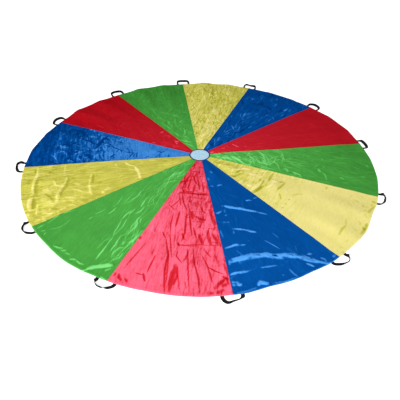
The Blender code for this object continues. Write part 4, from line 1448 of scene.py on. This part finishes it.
def thread_finish(name, colour, shaded=0.6):
    material, tree = new_finish(name)
    place = tree.node("ShaderNodeTexCoord", output="Object")
    inputs = {"Vector": place, "Scale": FIBRES_PER_METRE}
    fuzz = tree.node("ShaderNodeTexNoise", None, inputs)
    shades = {"Factor": fuzz, 6: linear(colour), 7: linear([c * shaded for c in colour])}
    mixed = tree.node("ShaderNodeMix", {"data_type": "RGBA"}, shades, output=2)
    finish_surface(tree, mixed, 0.6, 0.2, fuzz, FIBRE_DEPTH)
    return material


sewing = sewing_recipe()
threads = {name: thread_finish(f"thread {name}", shades[1]) for name, shades in DYES.items()}
black_thread = thread_finish("thread black", (30, 32, 40))
print("sewing recipe:", len(sewing.nodes), "nodes")

# %% [markdown]
# ## Sewing the seams and the hem
#
# The two rows of a seam lie on the gore whose edge is on top, one on each side of the
# seam's line. The hem's row lies just outside the inner edge of the fold.

# %% Sew the seams and the hem
SEAM_ROW_OFFSET = 0.004
SEAM_END_INSET = 0.003
SEAM_POINTS = 320
HEM_ROW_INSET = 0.003
HEM_POINTS = 160


def on_cloth(gore, radius, angle):
    """Points on top of a gore's cloth, sunk so that a thread is half buried."""
    height, _ = cloth_underside(gore, radius, angle)
    top = height + cloth_thickness(radius) + THREAD_WIDTH / 6
    return on_floor(gore, radius, angle, top)


def sew(name, lines, pitch, stitch, material, closed=False):
    rows = lines_object(name, lines, closed)
    follow(rows, sewing, Pitch=pitch, Stitch=stitch, Thread=THREAD_WIDTH, Finish=material)
    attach(rows, "canopy")
    return rows


def sew_gore(what, gore, lines):
    colour = COLOURS[gore % len(COLOURS)]
    name = f"{what}_stitches_{gore + 1:02d}"
    return sew(name, lines, SEAM_PITCH, SEAM_STITCH, threads[colour])


def sew_seam(gore):
    """The two rows at a gore's last edge, where it lies over the next gore."""
    first = VENT_RADIUS + BINDING_WIDTH / 2 + SEAM_STITCH
    radius = np.linspace(first, CANOPY_RADIUS - SEAM_END_INSET, SEAM_POINTS)
    off_line = np.arcsin(SEAM_ROW_OFFSET / radius)
    lines = [on_cloth(gore, radius, GORE_ANGLE + side * off_line) for side in (-1, 1)]
    return sew_gore("seam", gore, lines)


def sew_hem(gore):
    inset = CANOPY_RADIUS - HEM_WIDTH + HEM_ROW_INSET
    clear = SEAM_LAP / 2 / inset
    angle = np.linspace(clear, GORE_ANGLE + clear, HEM_POINTS)
    line = on_cloth(gore, np.full(len(angle), inset), angle)
    return sew_gore("hem", gore, [line])


seam_rows = [sew_seam(gore) for gore in range(GORE_COUNT)]
hem_rows = [sew_hem(gore) for gore in range(GORE_COUNT)]
print("faces in one seam's stitches:", len(seam_rows[0].data.polygons))

# %% [markdown]
# ## The vent
#
# A net of fine blue thread fills the hole in the middle and lets air through. It is
# knitted, so its holes are six-sided. Drawing thousands of cords would be heavy, so the
# recipe makes one flat six-sided ring, repeats it on a honeycomb of points inside the
# vent's circle, and merges the rings where they meet. The honeycomb is a grid whose odd
# rows are shifted by half a cell. Solidify gives the net its body.

# %% Knit the net
NET_CELL = 0.0036
NET_CORD = 0.0022
NET_THICKNESS = 0.0005
NET_HEIGHT = 0.0007
NET_GRID_SHARE = 2.3
NET_FIRST_ROW = 400.25
NET_MERGE = 0.00005
ROW_GAP_SHARE = math.sqrt(0.75)


def net_recipe():
    sockets = {"Start": "Geometry", "Radius": "Float", "Cell": "Float", "Cord": "Float"}
    group, given, tree = new_recipe("knitted net", **sockets, Finish="Material")
    count = (given["Radius"] * NET_GRID_SHARE) / given["Cell"]
    side = count * given["Cell"]
    row_gap = given["Cell"] * ROW_GAP_SHARE
    sizes = {"Size X": side, "Size Y": side * ROW_GAP_SHARE}
    sizes |= {"Vertices X": count, "Vertices Y": count}
    field = tree.node("GeometryNodeMeshGrid", None, sizes)
    place = tree.node("GeometryNodeInputPosition")
    apart = tree.node("ShaderNodeSeparateXYZ", None, {"Vector": place}, "Y")
    row = (apart / row_gap + NET_FIRST_ROW).maths_on("ROUND")
    shift = {"X": row.maths_on("MODULO", 2.0) * given["Cell"] / 2}
    shifted = {"Geometry": field, "Offset": tree.node("ShaderNodeCombineXYZ", None, shift)}
    honeycomb = tree.node("GeometryNodeSetPosition", None, shifted)
    reach = tree.node("ShaderNodeVectorMath", {"operation": "LENGTH"}, {0: place}, "Value")
    test = {0: reach, 1: given["Radius"]}
    outside = tree.node("FunctionNodeCompare", {"operation": "GREATER_THAN"}, test)
    cut = {"Geometry": honeycomb, "Selection": outside}
    kept = tree.node("GeometryNodeDeleteGeometry", None, cut)

    sizes = {"Vertices": 6, "Radius": given["Cell"] / math.sqrt(3)}
    hexagon = tree.node("GeometryNodeMeshCircle", {"fill_type": "NGON"}, sizes)
    raised = {"Mesh": hexagon, "Offset Scale": 0.0}
    inner = tree.node("GeometryNodeExtrudeMesh", {"mode": "FACES"}, raised)
    top = Wire(tree, inner.socket.node.outputs["Top"])
    hole = 1 - given["Cord"] / given["Cell"]
    shrunk = {"Geometry": inner, "Selection": top, "Scale": hole}
    drawn_in = tree.node("GeometryNodeScaleElements", None, shrunk)
    opened = {"Geometry": drawn_in, "Selection": top}
    ring = tree.node("GeometryNodeDeleteGeometry", {"domain": "FACE"}, opened)

    turn = {"Axis": (0.0, 0.0, 1.0), "Angle": math.pi / 6}
    upright = tree.node("FunctionNodeAxisAngleToRotation", None, turn)
    rings = {"Points": kept, "Instance": ring, "Rotation": upright}
    laid = tree.node("GeometryNodeInstanceOnPoints", None, rings)
    real = tree.node("GeometryNodeRealizeInstances", None, {"Geometry": laid})
    joined = {"Geometry": real, "Distance": NET_MERGE}
    merged = tree.node("GeometryNodeMergeByDistance", None, joined)
    lift = {"Geometry": merged, "Offset": (0.0, 0.0, NET_HEIGHT)}
    lifted = tree.node("GeometryNodeSetPosition", None, lift)
    end_recipe(tree, lifted, given["Finish"])
    return group


net_blue = thread_finish("net thread", (178, 218, 240), shaded=0.92)
net = follow(
    lines_object("vent_net_knitted", [[(0, 0, 0), (0, 0, 1)]]),
    net_recipe(),
    Radius=VENT_RADIUS - NET_CELL,
    Cell=NET_CELL,
    Cord=NET_CORD,
    Finish=net_blue,
)
body = net.modifiers.new("cord", "SOLIDIFY")
body.thickness = NET_THICKNESS
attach(net, "canopy")
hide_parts("vent_net")
print("faces in the net:", len(net.data.polygons))

# %% [markdown]
# ## Woven tape and webbing
#
# The vent's binding and the handles are narrow woven bands that follow a path and
# twist on the way. The recipe sweeps a flat, round-edged section along a line of
# points. Each point carries the direction of the band's width, so the twist is
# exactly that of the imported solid. The recipe also writes how far along and how far
# across the band each point is, and the finish draws its weave from these two.

# %% A recipe and a finish for bands
EDGE_ROUNDING = 0.00045
RIB_PITCH = 0.0022
RIB_DEPTH = 0.00008
WEFT_SHARE = 1.7
LINT_PER_METRE = 260.0
LINT_DEPTH = 0.0001


def band_recipe():
    sockets = {"Path": "Geometry", "Width": "Float", "Thickness": "Float"}
    group, given, tree = new_recipe("woven band", **sockets, Finish="Material")

    def store(geometry, name, value):
        inputs = {"Geometry": geometry, "Name": name, "Value": value}
        return tree.node("GeometryNodeStoreNamedAttribute", {"domain": "POINT"}, inputs)

    path = tree.node("GeometryNodeMeshToCurve", None, {"Mesh": given["Path"]})
    kind = {"data_type": "FLOAT_VECTOR"}
    way = tree.node("GeometryNodeInputNamedAttribute", kind, {"Name": "width_way"})
    leaning = {"Curve": path, "Normal": way}
    turned = tree.node("GeometryNodeSetCurveNormal", {"mode": "FREE"}, leaning)
    length = tree.node("GeometryNodeSplineParameter", output="Length")
    turned = store(turned, "along", length)
    sides = {"Width": given["Width"], "Height": given["Thickness"]}
    oblong = tree.node("GeometryNodeCurvePrimitiveQuadrilateral", None, sides)
    finer = tree.node("GeometryNodeSubdivideCurve", None, {"Curve": oblong, "Cuts": 5})
    round_off = {"Curve": finer, "Count": 2, "Radius": EDGE_ROUNDING, "Limit Radius": True}
    rounded = tree.node("GeometryNodeFilletCurve", {"mode": "POLY"}, round_off)
    place = tree.node("GeometryNodeInputPosition")
    aside = tree.node("ShaderNodeSeparateXYZ", None, {"Vector": place}, "X")
    section = store(rounded, "across", aside)
    sweep = {"Curve": turned, "Profile Curve": section, "Fill Caps": True}
    swept = tree.node("GeometryNodeCurveToMesh", None, sweep)
    smooth = tree.node("GeometryNodeSetShadeSmooth", None, {"Geometry": swept})
    end_recipe(tree, smooth, given["Finish"])
    return group


def band_finish(name, colour, worn):
    """Woven tape: slanting ribs that meet in the middle, as in a herringbone."""
    material, tree = new_finish(name)
    along = tree.node("ShaderNodeAttribute", {"attribute_name": "along"}, output="Fac")
    across = tree.node("ShaderNodeAttribute", {"attribute_name": "across"}, output="Fac")
    turn = 2 * math.pi / RIB_PITCH
    ribs = ((along + across.size()) * turn).sine()
    ends = (across * turn * WEFT_SHARE).sine()
    place = tree.node("ShaderNodeTexCoord", output="Object")
    lint = {"Vector": place, "Scale": LINT_PER_METRE, "Detail": 3.0}
    fuzz = tree.node("ShaderNodeTexNoise", None, lint)
    tone = (ribs * 0.25 + ends * 0.1 + fuzz * 0.7).held()
    shades = {"Factor": tone, 6: linear(colour), 7: linear(worn)}
    mixed = tree.node("ShaderNodeMix", {"data_type": "RGBA"}, shades, output=2)
    relief = (ribs + ends * 0.5) * RIB_DEPTH + fuzz * LINT_DEPTH
    finish_surface(tree, mixed, 0.62 - tone * 0.14, 0.12, relief)
    return material


def band_path(name, points, ways, closed=False):
    path = lines_object(name, [points], closed)
    layer = path.data.attributes.new("width_way", "FLOAT_VECTOR", "POINT")
    layer.data.foreach_set("vector", np.array(ways, np.float32).ravel())
    return path


woven_band = band_recipe()
black_webbing = band_finish("black webbing", (4, 4, 6), (18, 19, 22))
navy_tape = band_finish("navy tape", (18, 36, 78), (40, 66, 116))
print("band recipe:", len(woven_band.nodes), "nodes")

# %% [markdown]
# ## Binding the vent
#
# The tape closes over the tips of the gores and the edge of the net. Two sets of small
# waves, which don't keep step, pucker it as sewing does, and two rows of stitches run
# round it.

# %% Bind the vent
TAPE_POINTS = 160
PUCKER_HEIGHT = 0.0001
TAPE_ROW_OFFSET = 0.0042
TAPE_ROW_LIFT = 0.0003
TAPE_PITCH = 0.004
TAPE_STITCH = 0.003


def bind_vent():
    height = 2 * (CLOTH_THICKNESS + CLEARANCE) + BINDING_THICKNESS / 2
    turns = np.linspace(0, 2 * math.pi, TAPE_POINTS, endpoint=False)
    outward = np.stack((np.cos(turns), np.sin(turns), np.zeros(len(turns))), axis=1)
    puckers = PUCKER_HEIGHT * (1 + np.sin(turns * 46)) * (1 + np.sin(turns * 17))
    points = outward * VENT_RADIUS + np.array((0, 0, height)) + puckers[:, None] * (0, 0, 1)
    tape = band_path("vent_tape", points, outward, closed=True)
    follow(tape, woven_band, Width=BINDING_WIDTH, Thickness=BINDING_THICKNESS, Finish=navy_tape)
    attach(tape, "canopy")
    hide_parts("vent_binding")
    top = height + BINDING_THICKNESS / 2 + TAPE_ROW_LIFT
    radii = [VENT_RADIUS + side * TAPE_ROW_OFFSET for side in (-1, 1)]
    rows = [outward * radius + (0, 0, top) for radius in radii]
    sew("vent_stitches", rows, TAPE_PITCH, TAPE_STITCH, black_thread, closed=True)


bind_vent()
print("the vent is", VENT_RADIUS * 2, "m across")

# %% [markdown]
# ## The handles
#
# Each handle is one length of black webbing, sewn flat under the hem at both ends. It
# leaves the hem flat, twists on to its edge, and lies in the loop that it was dropped
# in. The table gives each loop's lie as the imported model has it: how far its seat is
# shifted along the rim, and three places on the loop. Each place is (share of the
# reach outwards, share of the half span along the rim, share of upright).

# %% How each loop lies
HANDLE_LAY_SHARES = (
    (-0.06, ((0.50, -0.98, 0.30), (0.60, -0.25, 0.60), (0.40, 0.80, 0.70))),
    (-0.08, ((0.72, -0.90, 0.35), (1.02, -0.02, 0.70), (0.78, 0.66, 1.00))),
    (0.00, ((0.82, -0.80, 0.80), (0.84, 0.07, 1.25), (0.98, 0.88, 1.15))),
    (0.00, ((0.92, -0.85, 0.70), (1.08, -0.07, 0.73), (1.00, 0.92, 0.60))),
    (0.00, ((0.80, -0.82, 0.70), (1.15, 0.05, 0.73), (0.98, 0.82, 0.40))),
    (0.00, ((0.76, -0.72, 0.70), (1.00, 0.05, 0.62), (0.66, 0.94, 0.20))),
    (0.05, ((0.84, -0.86, 1.05), (0.90, -0.10, 0.72), (0.62, 0.82, 0.10))),
    (0.06, ((0.52, -0.80, 1.05), (0.98, 0.00, 0.70), (0.76, 0.56, 0.05))),
    (0.00, ((0.66, -0.88, 1.05), (0.95, -0.13, 0.90), (0.66, 0.60, 0.10))),
    (0.00, ((0.74, -0.62, 0.05), (0.68, 0.08, 0.36), (0.52, 0.72, 0.48))),
    (-0.05, ((0.58, -0.62, 0.08), (0.95, 0.26, 0.48), (0.70, 0.82, 1.15))),
    (-0.15, ((0.62, -0.74, 0.42), (0.76, 0.12, 0.72), (0.56, 0.86, 1.20))),
)
RUN_POINTS = 15
QUARTERS = (0.25, 0.5, 0.75)


def loop_line(points):
    """The loop's middle line in plan: x out from the hem, y along the rim."""
    half = HANDLE_SPAN / 2
    inner = -WEBBING_THICKNESS / 2
    knots = [
        Vector((inner, -half)),
        Vector((FLAT_RUN, -half)),
        *(Vector((out * HANDLE_REACH, along * half)) for out, along, _ in points),
        Vector((FLAT_RUN, half)),
        Vector((inner, half)),
    ]
    headings = [knots[n + 1] - knots[n - 1] for n in range(2, len(knots) - 2)]
    straight_out = Vector((FLAT_RUN, 0))
    headings = [straight_out, *headings, -straight_out]
    line = [knots[0].lerp(knots[1], share) for share in (0, *QUARTERS)]
    for n, (start, end) in enumerate(zip(knots[1:-2], knots[2:-1])):
        pull = (end - start).length / 3
        leaving = start + headings[n].normalized() * pull
        arriving = end - headings[n + 1].normalized() * pull
        run = interpolate_bezier(start, leaving, arriving, end, RUN_POINTS)
        line += run[1:] if n else run
    return line + [knots[-2].lerp(knots[-1], share) for share in (*QUARTERS, 1)]


def loop_lean(points, gone, length):
    """Angle of the webbing's width from the floor, at a distance along the loop."""
    place = gone / length * (len(points) + 1) - 1
    first = min(len(points) - 2, max(0, math.floor(place)))
    mix = float(eased(place - first))
    upright = points[first][2] * (1 - mix) + points[first + 1][2] * mix
    twisted = min(gone, length - gone) - WEBBING_THICKNESS / 2 - FLAT_RUN
    return upright * math.pi / 2 * float(eased(twisted / TWIST_RUN))


def webbing_path(points):
    """Points of a whole handle on its own seat, and the direction of its width there."""
    line = loop_line(points)
    gone = [0.0]
    for start, end in zip(line, line[1:]):
        gone.append(gone[-1] + (end - start).length)
    middles, ways = [], []
    for n, spot in enumerate(line):
        onward = (line[min(n + 1, len(line) - 1)] - line[max(n - 1, 0)]).normalized()
        lean = loop_lean(points, gone[n], gone[-1])
        way = Vector((onward.y, -onward.x, 0)) * math.cos(lean)
        way.z = math.sin(lean)
        high = abs(math.sin(lean)) * WEBBING_WIDTH + abs(math.cos(lean)) * WEBBING_THICKNESS
        middles.append(Vector((*spot, (high - WEBBING_THICKNESS) / 2)))
        ways.append(way)
    sewn = [Vector((-SEWN_LENGTH * share, 0, 0)) for share in (1.0, 0.66, 0.33)]
    before = [middles[0] + step for step in sewn]
    after = [middles[-1] + step for step in reversed(sewn)]
    return before + middles + after, [ways[0]] * 3 + ways + [ways[-1]] * 3


print("handles:", len(HANDLE_LAY_SHARES))

# %% [markdown]
# ## Sewing on the handles
#
# A handle can be lifted, so its webbing bends where it leaves the hem. Each end is held
# by a square of stitches with a cross in it, which shows on top of the hem, and these
# stitches go with the canopy.

# %% Sew on the handles
TACK_SIDE = 0.015
TACK_INSET = 0.002
TACK_POINTS = 7
TACK_PITCH = 0.0026
TACK_STITCH = 0.0021


def hinge_radius():
    inner_side = (HANDLE_SPAN - WEBBING_WIDTH) / 2
    return math.sqrt(CANOPY_RADIUS**2 - inner_side**2) + CLEARANCE + WEBBING_THICKNESS / 2


def make_handle(number):
    shift_share, points = HANDLE_LAY_SHARES[number]
    angle = number * GORE_ANGLE + shift_share * HANDLE_SPAN / CANOPY_RADIUS
    outward = Vector((math.cos(angle), math.sin(angle), 0))
    hinge = outward * hinge_radius() + Vector((0, 0, WEBBING_THICKNESS / 2))
    seat = Matrix.Translation(hinge) @ Matrix.Rotation(angle, 4, "Z")
    middles, ways = webbing_path(points)
    label = f"{number + 1:02d}"
    spots = [seat @ middle for middle in middles]
    webbing = band_path(f"webbing_{label}", spots, [seat.to_3x3() @ way for way in ways])
    sizes = {"Width": WEBBING_WIDTH, "Thickness": WEBBING_THICKNESS}
    follow(webbing, woven_band, Finish=black_webbing, **sizes)
    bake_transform(webbing)
    pieces = (f"handle_loop_{label}", f"handle_end_{label}_a", f"handle_end_{label}_b")
    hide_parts(*pieces)

    corner = TACK_SIDE / 2
    square = ((-1, -1), (1, -1), (1, 1), (-1, 1), (-1, -1), (1, 1))
    lines = []
    for side in (-1, 1):
        middle = Vector((-SEWN_LENGTH / 2 - TACK_INSET, side * HANDLE_SPAN / 2, 0))
        turns = [middle + Vector((x * corner, y * corner, 0)) for x, y in square]
        cross = [middle + Vector((corner, -corner, 0)), middle + Vector((-corner, corner, 0))]
        for line in (turns, cross):
            spots = [
                seat @ start.lerp(end, share)
                for start, end in zip(line, line[1:])
                for share in np.linspace(0, 1, TACK_POINTS)
            ]
            radius = np.array([spot.xy.length for spot in spots])
            turned = np.array([math.atan2(spot.y, spot.x) for spot in spots])
            gore = (number if side > 0 else number - 1) % GORE_COUNT
            local = np.mod(turned - gore * GORE_ANGLE + math.pi, 2 * math.pi) - math.pi
            lines.append(on_cloth(gore, radius, local))
    sew(f"tack_{label}", lines, TACK_PITCH, TACK_STITCH, black_thread)
    return webbing


handles = [make_handle(number) for number in range(GORE_COUNT)]
print("faces in one handle:", len(handles[0].data.polygons))
